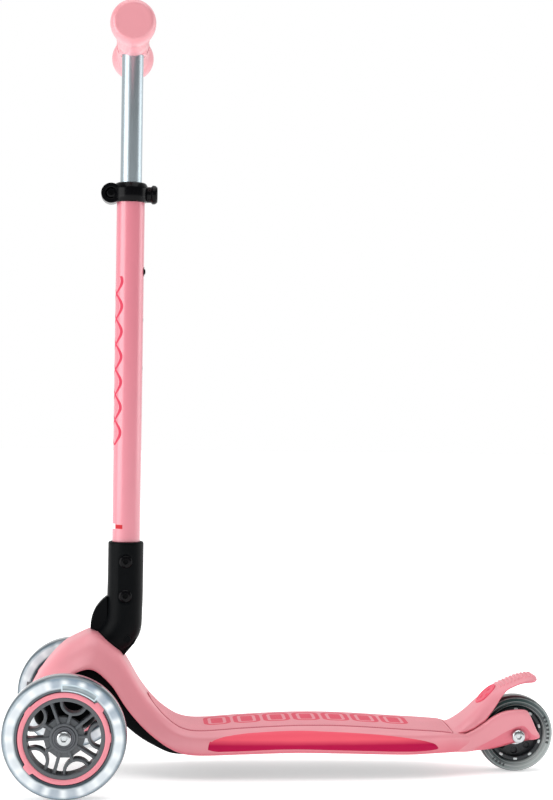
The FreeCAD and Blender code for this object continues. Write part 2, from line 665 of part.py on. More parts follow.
def front_wheel(side, sign):
    """One lit front wheel, its spinning pieces only."""
    light_start = 42.0
    pocket = washer(53.0, 47.5, -5, 5).common(Part.makeBox(70, 12, 40, V(0, -6, -20)))
    pocket = turned(pocket, ORIGIN, Y_AXIS, -light_start)
    rubber = tyre(RING_OUT, FRONT_R, WHEEL_HALF).cut(pocket)
    ring = washer(RING_OUT, RING_IN, -10.6, 10.6)
    bearing_pair, spacer = bearings_and_spacer()
    pieces = {"tyre": rubber, "light": pocket, "ring": ring, "hub": front_hub(),
              "bearings": bearing_pair, "spacer": spacer}
    return {"wheel_" + side + "_" + name: moved(shape, FRONT_X, sign * TRACK_HALF, FRONT_R)
            for name, shape in pieces.items()}


def rear_wheel():
    boss = washer(13.6, 0, -BEARING_OUT, BEARING_OUT)
    rim = washer(28.0, 23.5, -10.5, 10.5)
    web = washer(24.0, 13.0, -3, 3)
    slots = [turned(Part.makeBox(7, 12, 6, V(15.2, -6, -3)), ORIGIN, Y_AXIS, angle) for angle in range(0, 360, 45)]
    hub = joined(boss, rim, web).cut(hub_bores(BEARING_OUT) + slots)
    bearing_pair, spacer = bearings_and_spacer()
    pieces = {"tyre": tyre(28.0, REAR_R, WHEEL_HALF), "hub": hub, "bearings": bearing_pair, "spacer": spacer}
    return {"wheel_rear_" + name: moved(shape, REAR_X, 0, REAR_R) for name, shape in pieces.items()}


def rear_axle():
    bolt = moved(button_bolt(AXLE_R, 7.0, 3.0, 48.4), REAR_X, -24.3, REAR_R)
    nut = moved(barrel_nut(AXLE_R, 7.0, 3.0), REAR_X, 24.3, REAR_R)
    spacer = washer(6.5, AXLE_R, BEARING_OUT + SIDE_GAP, FORK_IN - 0.05)
    spacer = moved(spacer, REAR_X, 0, REAR_R)
    return {"rear_axle_bolt": bolt, "rear_axle_nut": nut,
            "rear_axle_spacers": Part.makeCompound([spacer, mirrored(spacer)])}


# ---- brake ----
def brake():
    """The sprung foot brake: a curved fender on a hinge barrel in the deck's rear end."""
    sections = []
    for x, top, low, half in FENDER:
        crown = min(2.0, (top - low) * 0.3)
        sections.append(both_sides(x, [(half - 1.5, low), (half, low + crown), (half - 2.5, top - crown),
                                       (half * 0.6, top)]))
    plate = loft(sections, True)
    barrel = cross_rod(BRAKE_BARREL_R, BRAKE_PIN, -14.0, 14.0)
    web = side_prism([(182.5, 40), (190.5, 40), (192.5, 52), (184, 48)], 14.0)
    tyre_room = cross_rod(REAR_R + TYRE_CLEARANCE, V(REAR_X, 0, REAR_R), -14.2, 14.2)
    ribs = []
    for i in range(8):
        x = 229 + i * 4.2
        z = 92.2 + i * 0.95
        ribs.append(Part.makeBox(2.0, 26, 3.0, V(x, -13, z)))
    lever = joined(plate, barrel, web, *ribs).cut([tyre_room, cross_rod(BRAKE_PIN_R + RUN_GAP, BRAKE_PIN, -20, 20)])
    lever = biggest(lever)
    badge_seat = V(211, 0, 79.5)
    slope = V(-0.75, 0, 0.66)
    slope.normalize()
    badge = rod(8.5, badge_seat - slope * 1.0, badge_seat + slope * 1.6)
    lever = lever.cut(rod(8.5, badge_seat - slope * 1.0, badge_seat + slope * 12))
    spring = coil(V(197.3, 0, 30.8), V(197.3, 0, 49.4), 3.0, 1.0, 6)
    return {"brake_lever": biggest(lever), "brake_badge": badge,
            "brake_pin": cross_rod(BRAKE_PIN_R, BRAKE_PIN, -23.8, 23.8), "brake_spring": spring}


def scooter():
    groups = [deck(), under_frame(), fold_base(), stem(), handlebar(), truck(), kingpin(), steering_lock(),
              front_wheel("left", -1), front_wheel("right", 1), rear_wheel(), rear_axle(), brake()]
    pieces = {}
    for group in groups:
        pieces.update(group)
    return pieces


def main():
    os.makedirs("parts", exist_ok=True)
    for name, shape in scooter().items():
        shape.exportStep("parts/" + name + ".step")


if __name__ == "__main__":
    main()
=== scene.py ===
"""Looks of a child's three-wheeled kick scooter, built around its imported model.

Lengths are worked out in millimetres and become metres when a mesh is made. -X is the direction
of travel, +Y is the rider's right and +Z is up. Each sub-assembly is a class whose fields are its
sizes and whose methods make its pieces.
"""

import logging
import math
from dataclasses import dataclass
from enum import Enum
from typing import Optional, Union

import bmesh
import bpy
import numpy as np
from mathutils import Matrix, Vector


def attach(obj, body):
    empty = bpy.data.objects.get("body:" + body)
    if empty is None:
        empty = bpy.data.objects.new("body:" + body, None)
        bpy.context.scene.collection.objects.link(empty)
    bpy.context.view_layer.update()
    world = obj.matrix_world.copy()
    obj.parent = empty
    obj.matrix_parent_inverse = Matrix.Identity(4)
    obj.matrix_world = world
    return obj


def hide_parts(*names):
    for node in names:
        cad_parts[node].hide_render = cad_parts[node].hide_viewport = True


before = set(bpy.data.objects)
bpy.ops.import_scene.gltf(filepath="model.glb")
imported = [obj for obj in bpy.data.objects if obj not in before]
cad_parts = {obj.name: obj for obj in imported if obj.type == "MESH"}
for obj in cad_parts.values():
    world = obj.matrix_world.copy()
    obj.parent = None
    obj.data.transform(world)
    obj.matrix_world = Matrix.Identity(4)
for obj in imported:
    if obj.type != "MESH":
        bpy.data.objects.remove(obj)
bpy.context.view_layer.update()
LOG = logging.getLogger("scooter")

MM = 0.001
FULL_TURN = 2 * math.pi
Array = np.ndarray
Colour = tuple[float, float, float]

FRONT_X = -223.25
REAR_X = 243.75
FRONT_R = 60.5
REAR_R = 40.0
TRACK_HALF = 126.0
STEM_X = -166.75
SEAT_FRONT = (-200.0, 151.0)
SEAT_REAR = (-169.4, 125.0)
SNAP_Z = 517.5


class Side(Enum):
    """The rider's left or right, as the sign of Y."""

    LEFT = -1
    RIGHT = 1


# ---- shapes from formulas ----
def smooth_between(at: Array, knots: Array, rows: Array) -> Array:
    """Cubic Hermite curve through rows of values, its slopes taken from the neighbouring rows.

    Args:
        at: where the curve is wanted.
        knots: the rising positions of the rows.
        rows: one row of values for each knot.

    Returns:
        One row of values for each wanted position.
    """
    knots = np.asarray(knots, float)
    rows = np.asarray(rows, float)
    if rows.ndim == 1:
        rows = rows[:, None]
    slopes = np.gradient(rows, knots, axis=0)
    i = np.clip(np.searchsorted(knots, at) - 1, 0, len(knots) - 2)
    span = (knots[i + 1] - knots[i])[:, None]
    t = (at[:, None] - knots[i][:, None]) / span
    start = rows[i] * (2 * t**3 - 3 * t**2 + 1) + slopes[i] * span * (t**3 - 2 * t**2 + t)
    end = rows[i + 1] * (3 * t**2 - 2 * t**3) + slopes[i + 1] * span * (t**3 - t**2)
    return start + end


def soft_step(value: Array, low: float, high: float) -> Array:
    """Rises smoothly from 0 at low to 1 at high, as 3t² - 2t³."""
    t = np.clip((value - low) / (high - low), 0, 1)
    return t * t * (3 - 2 * t)


def rounded_run(corners: Array, steps: int = 6, closed: bool = False) -> Array:
    """Quadratic B-spline inside a run of corners: it touches the middle of every side.

    Args:
        corners: (..., corner, axis) points.
        steps: points for each corner.
        closed: whether the last corner joins the first.

    Returns:
        (..., point, axis) points of the rounded run.
    """
    if closed:
        padded = np.concatenate([corners[..., -1:, :], corners, corners[..., :1, :]], axis=-2)
    else:
        padded = np.concatenate([corners[..., :1, :], corners, corners[..., -1:, :]], axis=-2)
    spans = padded.shape[-2] - 2
    count = spans * steps + (0 if closed else 1)
    t = np.arange(count) / steps
    k = np.minimum(t.astype(int), spans - 1)
    u = (t - k)[:, None]
    before, here, after = padded[..., k, :], padded[..., k + 1, :], padded[..., k + 2, :]
    return 0.5 * (1 - u) ** 2 * before + (0.5 + u - u * u) * here + 0.5 * u * u * after


def filleted(corners: list[tuple[float, float]], radius: float, steps: int = 5,
             closed: bool = False) -> Array:
    """A run of 2-D corners with each one rounded by an arc-like curve of the given reach."""
    points = np.array(corners, float)
    count = len(points)
    out = []
    for i in range(count):
        if not closed and i in (0, count - 1):
            out.append(points[i][None])
            continue
        back = points[i - 1] - points[i]
        ahead = points[(i + 1) % count] - points[i]
        back_len, ahead_len = np.linalg.norm(back), np.linalg.norm(ahead)
        a = points[i] + back / back_len * min(radius, 0.45 * back_len)
        b = points[i] + ahead / ahead_len * min(radius, 0.45 * ahead_len)
        t = np.linspace(0, 1, steps + 1)[:, None]
        out.append((1 - t) ** 2 * a + 2 * t * (1 - t) * points[i] + t**2 * b)
    return np.concatenate(out)


def frame_of(direction: tuple[float, float, float]) -> tuple[Array, Array, Array]:
    """Two unit vectors square to a direction, and the direction itself made unit long."""
    along = np.array(direction, float)
    along /= np.linalg.norm(along)
    helper = np.array([0, 0, 1.0]) if abs(along[2]) < 0.9 else np.array([1.0, 0, 0])
    first = np.cross(helper, along)
    first /= np.linalg.norm(first)
    return first, np.cross(along, first), along


def turned(profile: Array, centre: tuple, direction: tuple, steps: int = 72) -> Array:
    """Surface of revolution: profile rows of (radius, distance along the direction) turned full circle."""
    first, second, along = frame_of(direction)
    angle = np.arange(steps) * FULL_TURN / steps
    spoke = np.cos(angle)[:, None] * first + np.sin(angle)[:, None] * second
    profile = np.asarray(profile, float)
    return (np.array(centre, float) + profile[:, None, :1] * spoke[None] + profile[:, None, 1:] * along)


def swept(path: Array, section: Array, side: tuple = (0, 1, 0)) -> Array:
    """A section of (across, sideways) points carried along a path that lies square to the side vector."""
    side = np.array(side, float)
    along = np.gradient(path, axis=0)
    along /= np.linalg.norm(along, axis=1)[:, None]
    across = np.cross(along, side)
    return path[:, None] + section[None, :, :1] * across[:, None] + section[None, :, 1:] * side


def oval(half_a: Union[float, Array], half_b: Union[float, Array], power: float = 2.0,
         steps: int = 48) -> Array:
    """Superellipse |a|^p + |b|^p = 1 scaled to its two half sizes, as (..., point, 2)."""
    angle = np.arange(steps) * FULL_TURN / steps
    c, s = np.cos(angle), np.sin(angle)
    unit = np.stack([np.sign(c) * np.abs(c) ** (2 / power), np.sign(s) * np.abs(s) ** (2 / power)], -1)
    size = np.stack([np.asarray(half_a, float), np.asarray(half_b, float)], -1)
    return unit * size[..., None, :]


class Skin:
    """Collects grids of points in millimetres and makes one closed mesh object of them."""

    def __init__(self, name: str) -> None:
        """Starts an empty piece of the given name."""
        self.name = name
        self.points: list[Array] = []
        self.faces: list[list[int]] = []
        self.count = 0

    def grid(self, points: Array, around: bool = True, along: bool = False, caps: bool = False) -> "Skin":
        """Adds a grid of quads.

        Args:
            points: (row, column, 3) points.
            around: whether the last column joins the first.
            along: whether the last row joins the first.
            caps: whether the first and last rows are filled.

        Returns:
            This piece.
        """
        rows, columns = points.shape[:2]
        index = np.arange(rows * columns).reshape(rows, columns) + self.count
        ends = [index[0].tolist()[::-1], index[-1].tolist()]
        if around:
            index = np.concatenate([index, index[:, :1]], axis=1)
        if along:
            index = np.concatenate([index, index[:1]], axis=0)
        quads = np.stack([index[:-1, :-1], index[1:, :-1], index[1:, 1:], index[:-1, 1:]], -1)
        self.faces += quads.reshape(-1, 4).tolist()
        if caps:
            self.faces += ends
        self.points.append(points.reshape(-1, 3))
        self.count += rows * columns
        return self

    def revolve(self, profile: Array, centre: tuple, direction: tuple = (0, 1, 0), steps: int = 72) -> "Skin":
        """Adds a surface of revolution, closed along too when its profile is a loop."""
        profile = np.asarray(profile, float)
        loop = bool(np.all(profile[0] > 0.01)) and bool(np.allclose(profile[0], profile[-1]))
        rows = turned(profile[:-1] if loop else profile, centre, direction, steps)
        return self.grid(rows, along=loop)

    def prism(self, outline: Array, low: float, high: float) -> "Skin":
        """Adds an (x, z) outline carried between two Y planes, both ends filled."""
        ring = np.stack([outline[:, 0], np.zeros(len(outline)), outline[:, 1]], -1)
        rows = np.stack([ring + (0, low, 0), ring + (0, high, 0)])
        return self.grid(rows, caps=True)

    def mesh(self, sharp: float = 35.0) -> bpy.types.Object:
        """Makes the object: doubles merged, faces outward, smooth but for edges past the sharp angle."""
        mesh = bpy.data.meshes.new(self.name)
        mesh.from_pydata((np.concatenate(self.points) * MM).tolist(), [], self.faces)
        work = bmesh.new()
        work.from_mesh(mesh)
        bmesh.ops.remove_doubles(work, verts=work.verts, dist=2e-6)
        bmesh.ops.dissolve_degenerate(work, edges=work.edges, dist=1e-6)
        bmesh.ops.recalc_face_normals(work, faces=work.faces)
        work.to_mesh(mesh)
        work.free()
        mesh.shade_smooth()
        mesh.set_sharp_from_angle(angle=math.radians(sharp))
        thing = bpy.data.objects.new(self.name, mesh)
        bpy.context.scene.collection.objects.link(thing)
        return thing


def bevelled(thing: bpy.types.Object, width: float, segments: int = 3,
             angle: float = 30.0) -> bpy.types.Object:
    """Rounds a piece's edges that are sharper than the angle by a width in millimetres."""
    bevel = thing.modifiers.new("rounded_edges", "BEVEL")
    bevel.width = width * MM
    bevel.segments = segments
    bevel.limit_method = "ANGLE"
    bevel.angle_limit = math.radians(angle)
    bevel.harden_normals = True
    return thing


def fitted(thing: bpy.types.Object, body: str, material: bpy.types.Material,
           nodes: tuple = ()) -> None:
    """Gives a piece its finish, its body and the model nodes that it stands for.

    Args:
        thing: the finished piece.
        body: the body that it moves with.
        material: its finish.
        nodes: the nodes that it is shown instead of.
    """
    thing.data.materials.clear()
    thing.data.materials.append(material)
    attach(thing, body)
    if nodes:
        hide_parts(*nodes)
    LOG.info("%s: %d faces on %s", thing.name, len(thing.data.polygons), body)


# ---- finishes ----
def linear(colour: Colour) -> tuple[float, float, float, float]:
    """Turns display colour values of 0 to 255 into the shader's linear light."""
    level = np.array(colour, float) / 255
    light = np.where(level <= 0.04045, level / 12.92, ((level + 0.055) / 1.055) ** 2.4)
    return (float(light[0]), float(light[1]), float(light[2]), 1.0)


class Value:
    """A number on a shader link, with Python's operators adding Math nodes."""

    def __init__(self, graph: "Graph", socket: bpy.types.NodeSocket) -> None:
        """Wraps one output socket."""
        self.graph = graph
        self.socket = socket

    def math(self, operation: str, *others: Union["Value", float], clamp: bool = False) -> "Value":
        """Adds one Math node with this value as its first input."""
        settings = {"operation": operation, "use_clamp": clamp}
        node = self.graph.node("ShaderNodeMath", settings, (self, *others))
        return Value(self.graph, node.outputs[0])

    def __add__(self, other: Union["Value", float]) -> "Value":
        """Sum."""
        return self.math("ADD", other)

    __radd__ = __add__

    def __sub__(self, other: Union["Value", float]) -> "Value":
        """Difference."""
        return self.math("SUBTRACT", other)

    def __rsub__(self, other: float) -> "Value":
        """Difference from a number."""
        return self.math("MULTIPLY_ADD", -1.0, other)

    def __mul__(self, other: Union["Value", float]) -> "Value":
        """Product."""
        return self.math("MULTIPLY", other)

    __rmul__ = __mul__

    def __truediv__(self, other: Union["Value", float]) -> "Value":
        """Quotient."""
        return self.math("DIVIDE", other)

    def __abs__(self) -> "Value":
        """Size without sign."""
        return self.math("ABSOLUTE")

    def power(self, exponent: float) -> "Value":
        """This value raised to a power."""
        return self.math("POWER", exponent)

    def below(self, edge: float, blur: float) -> "Value":
        """1 below an edge, 0 above it, with a linear blur between."""
        return ((edge - self) / blur + 0.5).math("ADD", 0.0, clamp=True)

    def above(self, edge: float, blur: float) -> "Value":
        """1 above an edge, 0 below it, with a linear blur between."""
        return ((self - edge) / blur + 0.5).math("ADD", 0.0, clamp=True)

    def band(self, low: float, high: float, blur: float) -> "Value":
        """1 between two edges and 0 outside them."""
        return self.above(low, blur) * self.below(high, blur)


class Graph:
    """A node tree and the one way that nodes are added to it."""

    def __init__(self, tree: bpy.types.NodeTree) -> None:
        """Empties the tree."""
        self.tree = tree
        self.tree.nodes.clear()

    def node(self, kind: str, settings: dict, inputs: Union[tuple, dict] = ()) -> bpy.types.Node:
        """Adds any node.

        Args:
            kind: the node's type.
            settings: its own settings, set before its sockets.
            inputs: values or links by socket order or by socket name.

        Returns:
            The new node.
        """
        node = self.tree.nodes.new(kind)
        for key, setting in settings.items():
            setattr(node, key, setting)
        pairs = inputs.items() if isinstance(inputs, dict) else enumerate(inputs)
        for key, value in pairs:
            self.feed(node.inputs[key], value)
        return node

    def feed(self, socket: bpy.types.NodeSocket, value: object) -> None:
        """Puts a number, a colour, a Value or another node's socket into a socket."""
        if isinstance(value, Value):
            self.tree.links.new(value.socket, socket)
        elif isinstance(value, bpy.types.NodeSocket):
            self.tree.links.new(value, socket)
        else:
            socket.default_value = value


class Paint(Graph):
    """One material's node tree, with its Principled shader ready to be fed."""

    def __init__(self, name: str) -> None:
        """Makes the material with only its shader and its output."""
        self.material = bpy.data.materials.new(name)
        self.material.use_nodes = True
        super().__init__(self.material.node_tree)
        self.shader = self.node("ShaderNodeBsdfPrincipled", {})
        self.node("ShaderNodeOutputMaterial", {}, {"Surface": self.shader.outputs[0]})
        self._place: Optional[bpy.types.NodeSocket] = None

    def set(self, **sockets: object) -> "Paint":
        """Feeds the shader's sockets, their names written with underscores."""
        for key, value in sockets.items():
            self.feed(self.shader.inputs[key.replace("_", " ")], value)
        return self

    def place(self) -> bpy.types.NodeSocket:
        """The piece's own coordinates in metres."""
        if self._place is None:
            self._place = self.node("ShaderNodeTexCoord", {}).outputs["Object"]
        return self._place

    def axes(self, x: float = 0.0, y: float = 0.0, z: float = 0.0) -> tuple[Value, Value, Value]:
        """Distances in millimetres from a point, along each axis."""
        split = self.node("ShaderNodeSeparateXYZ", {}, (self.place(),))
        return tuple(Value(self, out) * 1000.0 - at for out, at in zip(split.outputs, (x, y, z)))

    def noise(self, size: float, detail: float = 2.0, stretch: tuple = (1, 1, 1)) -> Value:
        """Cloudy noise of 0 to 1 whose lumps are about size millimetres across."""
        scaled = self.node("ShaderNodeVectorMath", {"operation": "MULTIPLY"}, (self.place(), stretch))
        noise = self.node("ShaderNodeTexNoise", {}, {"Vector": scaled.outputs[0], "Scale": 1000.0 / size,
                                                    "Detail": detail, "Roughness": 0.5})
        return Value(self, noise.outputs[0])

    def facing_down(self) -> Value:
        """One where the surface looks at the ground, falling to zero where it stands upright."""
        normal = self.node("ShaderNodeNewGeometry", {}).outputs["Normal"]
        up = Value(self, self.node("ShaderNodeSeparateXYZ", {}, (normal,)).outputs["Z"])
        return (up * -1.0).above(0.14, 0.28)

    def edge_wear(self) -> Value:
        """One on rounded corners, where the bevelled normal leaves the true one, and zero on flats."""
        true = self.node("ShaderNodeNewGeometry", {}).outputs["Normal"]
        soft = self.node("ShaderNodeBevel", {"samples": 4}, {"Radius": 0.8 * MM}).outputs["Normal"]
        compare = self.node("ShaderNodeVectorMath", {"operation": "DOT_PRODUCT"}, (true, soft))
        return Value(self, compare.outputs["Value"]).below(0.985, 0.03)

    def mix(self, mask: Union[Value, float], low: object, high: object) -> bpy.types.NodeSocket:
        """Colour that goes from low to high as the mask goes from 0 to 1."""
        node = self.node("ShaderNodeMix", {"data_type": "RGBA"}, {0: mask, 6: low, 7: high})
        return node.outputs[2]

    def bump(self, height: Value, depth: float, strength: float = 1.0) -> bpy.types.NodeSocket:
        """Normal from a height of 0 to 1 that stands for a depth in millimetres."""
        inputs = {"Height": height, "Distance": depth * MM, "Strength": strength}
        node = self.node("ShaderNodeBump", {}, inputs)
        return node.outputs[0]


def lighter(colour: Colour, factor: float) -> tuple[float, float, float, float]:
    """A linear colour scaled in brightness."""
    r, g, b, _ = linear(colour)
    return (min(r * factor, 1), min(g * factor, 1), min(b * factor, 1), 1.0)


@dataclass(frozen=True)
class Moulded:
    """Injection-moulded plastic: faint cloudiness, a fine spark-eroded grain and scuffs in its gloss.

    Its corners are worn a little paler, and undersides may be darkened with painted shade.
    """

    name: str
    colour: Colour
    roughness: float = 0.42
    grain: float = 0.35
    grain_depth: float = 0.03
    coat: float = 0.0
    cloud: float = 0.06
    shine: float = 0.5
    painted_underside_shade: float = 0.0
    painted_shade_tint: tuple = (0.93, 0.6, 0.7)

    def make(self) -> bpy.types.Material:
        """Builds the material."""
        paint = Paint(self.name)
        cloud = paint.noise(35.0, 3.0)
        scuff = paint.noise(7.0, 5.0)
        grain = paint.noise(self.grain, 1.0)
        base = paint.mix(cloud, lighter(self.colour, 1 - self.cloud), lighter(self.colour, 1 + self.cloud))
        # painted shade: faces that look down are mixed towards a deeper tint, as shade under the shell
        if self.painted_underside_shade > 0:
            under = paint.facing_down() * self.painted_underside_shade
            deep = tuple(int(c * k) for c, k in zip(self.colour, self.painted_shade_tint))
            base = paint.mix(under, base, linear(deep))
        wear = paint.edge_wear()
        base = paint.mix(wear * (0.22 + scuff * 0.3), base, lighter(self.colour, 1.25))
        paint.set(Base_Color=base, Roughness=self.roughness - 0.06 + scuff * 0.12 + wear * 0.08,
                  Coat_Weight=self.coat, Normal=paint.bump(grain, self.grain_depth), Coat_Roughness=0.2,
                  Specular_IOR_Level=self.shine)
        return paint.material


@dataclass(frozen=True)
class BrushedMetal:
    """Drawn or turned metal: long fine streaks along one axis and a little cloudiness."""

    name: str
    colour: Colour
    roughness: float = 0.28
    streak: tuple = (1.0, 1.0, 0.02)

    def make(self) -> bpy.types.Material:
        """Builds the material."""
        paint = Paint(self.name)
        streak = paint.noise(0.6, 3.0, self.streak)
        cloud = paint.noise(18.0, 3.0)
        base = paint.mix(streak * 0.5 + cloud * 0.5, lighter(self.colour, 0.9), lighter(self.colour, 1.08))
        paint.set(Base_Color=base, Metallic=1.0, Roughness=self.roughness - 0.08 + streak * 0.16,
                  Normal=paint.bump(streak, 0.01))
        return paint.material


@dataclass(frozen=True)
class DottedPad:
    """Soft standing pad: rows of small raised dots with painted shade between them, and a printed row of
    nested oblongs.
    """

    name: str
    colour: Colour
    print_colour: Colour
    dot: float = 2.6
    motif_pitch: float = 31.0
    motif_count: int = 7
    motif_start: float = -85.0

    def make(self) -> bpy.types.Material:
        """Builds the material: dots are |cos| products on a slanted grid, oblongs are box distances."""
        paint = Paint(self.name)
        x, y, _ = paint.axes()
        row = (x + y) * (math.pi / self.dot)
        column = (x - y) * (math.pi / self.dot)
        dots = abs(row.math("COSINE")) * abs(column.math("COSINE"))
        cloud = paint.noise(30.0, 3.0)
        cell = (x - self.motif_start).math("PINGPONG", self.motif_pitch / 2)
        inside = x.band(self.motif_start, self.motif_start + self.motif_pitch * self.motif_count, 0.4)
        across = self.motif_pitch / 2 - cell
        far = across.math("SUBTRACT", 4.0).math("MAXIMUM", 0.0)
        side = (abs(y - 7.0) - 12.0).math("MAXIMUM", 0.0)
        reach = (far * far + side * side).math("SQRT")
        outline = reach.band(5.4, 10.0, 0.5) + reach.below(2.2, 0.5)
        motif = outline * inside
        base = paint.mix(cloud, lighter(self.colour, 0.95), lighter(self.colour, 1.05))
        # painted shade: the hollows between the raised dots are darkened
        base = paint.mix(dots.below(0.35, 0.3) * 0.22, base, lighter(self.colour, 0.62))
        base = paint.mix(motif, base, linear(self.print_colour))
        paint.set(Base_Color=base, Roughness=0.62 - dots * 0.1, Normal=paint.bump(dots, 0.35))
        return paint.material


@dataclass(frozen=True)
class LitTyre:
    """Clear cast tyre whose core glows: a white band between blue-grey edges, and the light module's arc."""

    name: str
    inner: float = 44.3
    outer: float = 60.5
    glow: float = 0.35

    def make(self, x0: float, z0: float) -> bpy.types.Material:
        """Builds the material for a wheel whose axle is at (x0, z0)."""
        paint = Paint(self.name)
        x, _, z = paint.axes(x0, 0.0, z0)
        radius = (x * x + z * z).math("SQRT")
        angle = z.math("ARCTAN2", x) * (180 / math.pi)
        cloud = paint.noise(16.0, 3.0)
        fine = paint.noise(5.0, 2.0)
        wobble = radius + (cloud - 0.5) * 2.4
        band = wobble.band(48.6, 56.6, 2.4)
        inside = radius.below(48.0, 1.4)
        base = paint.mix(fine, linear((104, 122, 132)), linear((158, 174, 184)))
        base = paint.mix(inside * 0.95, base, linear((52, 68, 76)))
        base = paint.mix(band, base, linear((222, 229, 232)))
        lamps = ((angle * (math.pi / 9.0)).math("COSINE") * 0.5 + 0.5).power(2.0)
        lit_arc = abs(angle - 62.0).below(48.0, 10.0) + abs(angle + 92.0).below(26.0, 8.0)
        gaps = (1.0 - lamps) * (lit_arc * 0.6 + 0.35) * radius.band(49.0, 58.6, 1.6) * (cloud * 0.8 + 0.6)
        base = paint.mix(gaps * 0.8, base, linear((120, 140, 158)))
        module = abs(angle - 72.5).below(21.5, 1.2) * radius.band(45.0, 52.4, 0.5)
        frame = module * (1.0 - abs(angle - 72.5).below(19.8, 1.0) * radius.band(46.6, 50.9, 0.5))
        base = paint.mix(module * 0.75, base, linear((112, 128, 134)))
        base = paint.mix(frame * 0.7, base, linear((214, 232, 240)))
        rim = radius.above(self.outer - 2.2, 1.6)
        base = paint.mix(rim * 0.85, base, linear((58, 72, 80)))
        shine = band * (1.0 - gaps * 0.6) * (1.0 - module * 0.8)
        glow = paint.mix(shine, (0.0, 0.0, 0.0, 1.0), (self.glow, self.glow, self.glow * 1.02, 1.0))
        paint.set(Base_Color=base, Roughness=0.16 + fine * 0.06, Emission_Color=glow, Emission_Strength=0.25,
                  Coat_Weight=0.6, Coat_Roughness=0.08, Normal=paint.bump(cloud, 0.15))
        return paint.material


@dataclass(frozen=True)
class SmokyTyre:
    """Clear grey cast tyre with painted shade and light: dark and greenish on one side, pale on the other,
    with painted highlight rings, and dashed.
    """

    name: str
    inner: float = 28.0
    outer: float = 40.0
    mark_step: float = 7.4

    def make(self, x0: float, z0: float) -> bpy.types.Material:
        """Builds the material for a wheel whose axle is at (x0, z0)."""
        paint = Paint(self.name)
        x, _, z = paint.axes(x0, 0.0, z0)
        radius = (x * x + z * z).math("SQRT")
        height = z / self.outer
        angle = z.math("ARCTAN2", x) * (180 / math.pi)
        cloud = paint.noise(14.0, 3.0)
        ramp = (radius + (cloud - 0.5) * 3.0).above((self.inner + self.outer) / 2, 9.0)
        base = paint.mix(ramp, linear((34, 46, 48)), linear((104, 116, 116)))
        # painted light: the lower rear of the tyre is paled
        pale = (x / self.outer - height).above(0.75, 0.9)
        base = paint.mix(pale * 0.7, base, linear((176, 184, 182)))
        # painted shade: the upper front is darkened and tinted green, as shadow under the brake
        base = paint.mix((height - x / self.outer).above(0.45, 0.9) * 0.85, base, linear((14, 52, 50)))
        base = paint.mix(radius.above(self.outer - 1.4, 0.8) * 0.9, base, linear((26, 34, 38)))
        # painted highlight: three pale rings on the tyre's side
        for edge in (self.inner + 2.2, self.inner + 5.6, self.inner + 9.2):
            base = paint.mix(radius.band(edge, edge + 0.7, 0.5) * 0.35, base, linear((196, 204, 204)))
        marks = abs(angle - 8.0).below(26.0, 0.5).math("MAXIMUM", abs(angle + 122.0).below(12.0, 0.5))
        strokes = (angle * (FULL_TURN / self.mark_step)).math("COSINE").above(-0.2, 0.2)
        marks = marks * radius.band(32.8, 36.0, 0.3) * strokes
        base = paint.mix(marks * 0.85, base, linear((18, 22, 26)))
        paint.set(Base_Color=base, Roughness=0.18 + cloud * 0.08, Coat_Weight=0.25, Coat_Roughness=0.1,
                  Specular_IOR_Level=0.3, Normal=paint.bump(cloud, 0.1))
        return paint.material


@dataclass(frozen=True)
class PaintedTube:
    """Satin powder-coated tube with a printed wavy ribbon up its front and a height mark near its foot."""

    name: str
    colour: Colour
    print_colour: Colour
    radius: float = 14.5
    wave_low: float = 338.0
    wave_high: float = 512.0
    wave_length: float = 52.0

    def make(self, x0: float) -> bpy.types.Material:
        """Builds the material: the ribbon is ||arc| - |A sin(z)|| kept below a width, a chain of links."""
        paint = Paint(self.name)
        x, y, z = paint.axes(x0, 0.0, 0.0)
        arc = (y * -1.0).math("ARCTAN2", x * -1.0) * self.radius
        wave = (z * (FULL_TURN / self.wave_length)).math("SINE") * 8.5
        height = z.band(self.wave_low, self.wave_high, 1.0)
        ribbon = abs(abs(arc - 6.0) - abs(wave)).below(1.8, 0.4)
        red = abs(arc - 14.5).below(4.3, 0.3) * z.band(252.0, 256.2, 0.3)
        white = abs(arc - 6.6).below(3.2, 0.3) * z.band(251.6, 257.0, 0.3)
        cloud = paint.noise(40.0, 3.0)
        peel = paint.noise(1.6, 2.0)
        base = paint.mix(cloud, lighter(self.colour, 0.97), lighter(self.colour, 1.04))
        base = paint.mix(ribbon * height * 0.95, base, linear(self.print_colour))
        base = paint.mix(white, base, linear((250, 246, 244)))
        base = paint.mix(red, base, linear((190, 8, 30)))
        ink = (ribbon * height).math("MAXIMUM", red).math("MAXIMUM", white)
        paint.set(Base_Color=base, Roughness=0.30 + cloud * 0.08 + ink * 0.5, Specular_IOR_Level=0.7,
                  Coat_Weight=0.8 - ink * 0.8, Coat_Roughness=0.2, Normal=paint.bump(peel, 0.02))
        return paint.material


@dataclass(frozen=True)
class LeafInsert:
    """Hot-pink side insert with painted shade: its colour darkens towards its lower edge."""

    name: str
    high: Colour
    low: Colour

    def make(self) -> bpy.types.Material:
        """Builds the material."""
        paint = Paint(self.name)
        _, _, z = paint.axes()
        cloud = paint.noise(24.0, 3.0)
        # painted shade: the colour falls from the high tint to the deep low tint towards the lower edge
        rise = (z + (cloud - 0.5) * 1.0).above(39.6, 6.0)
        base = paint.mix(rise, linear(self.low), linear(self.high))
        paint.set(Base_Color=base, Roughness=0.38 + cloud * 0.08, Specular_IOR_Level=0.12,
                  Normal=paint.bump(paint.noise(0.5), 0.02))
        return paint.material


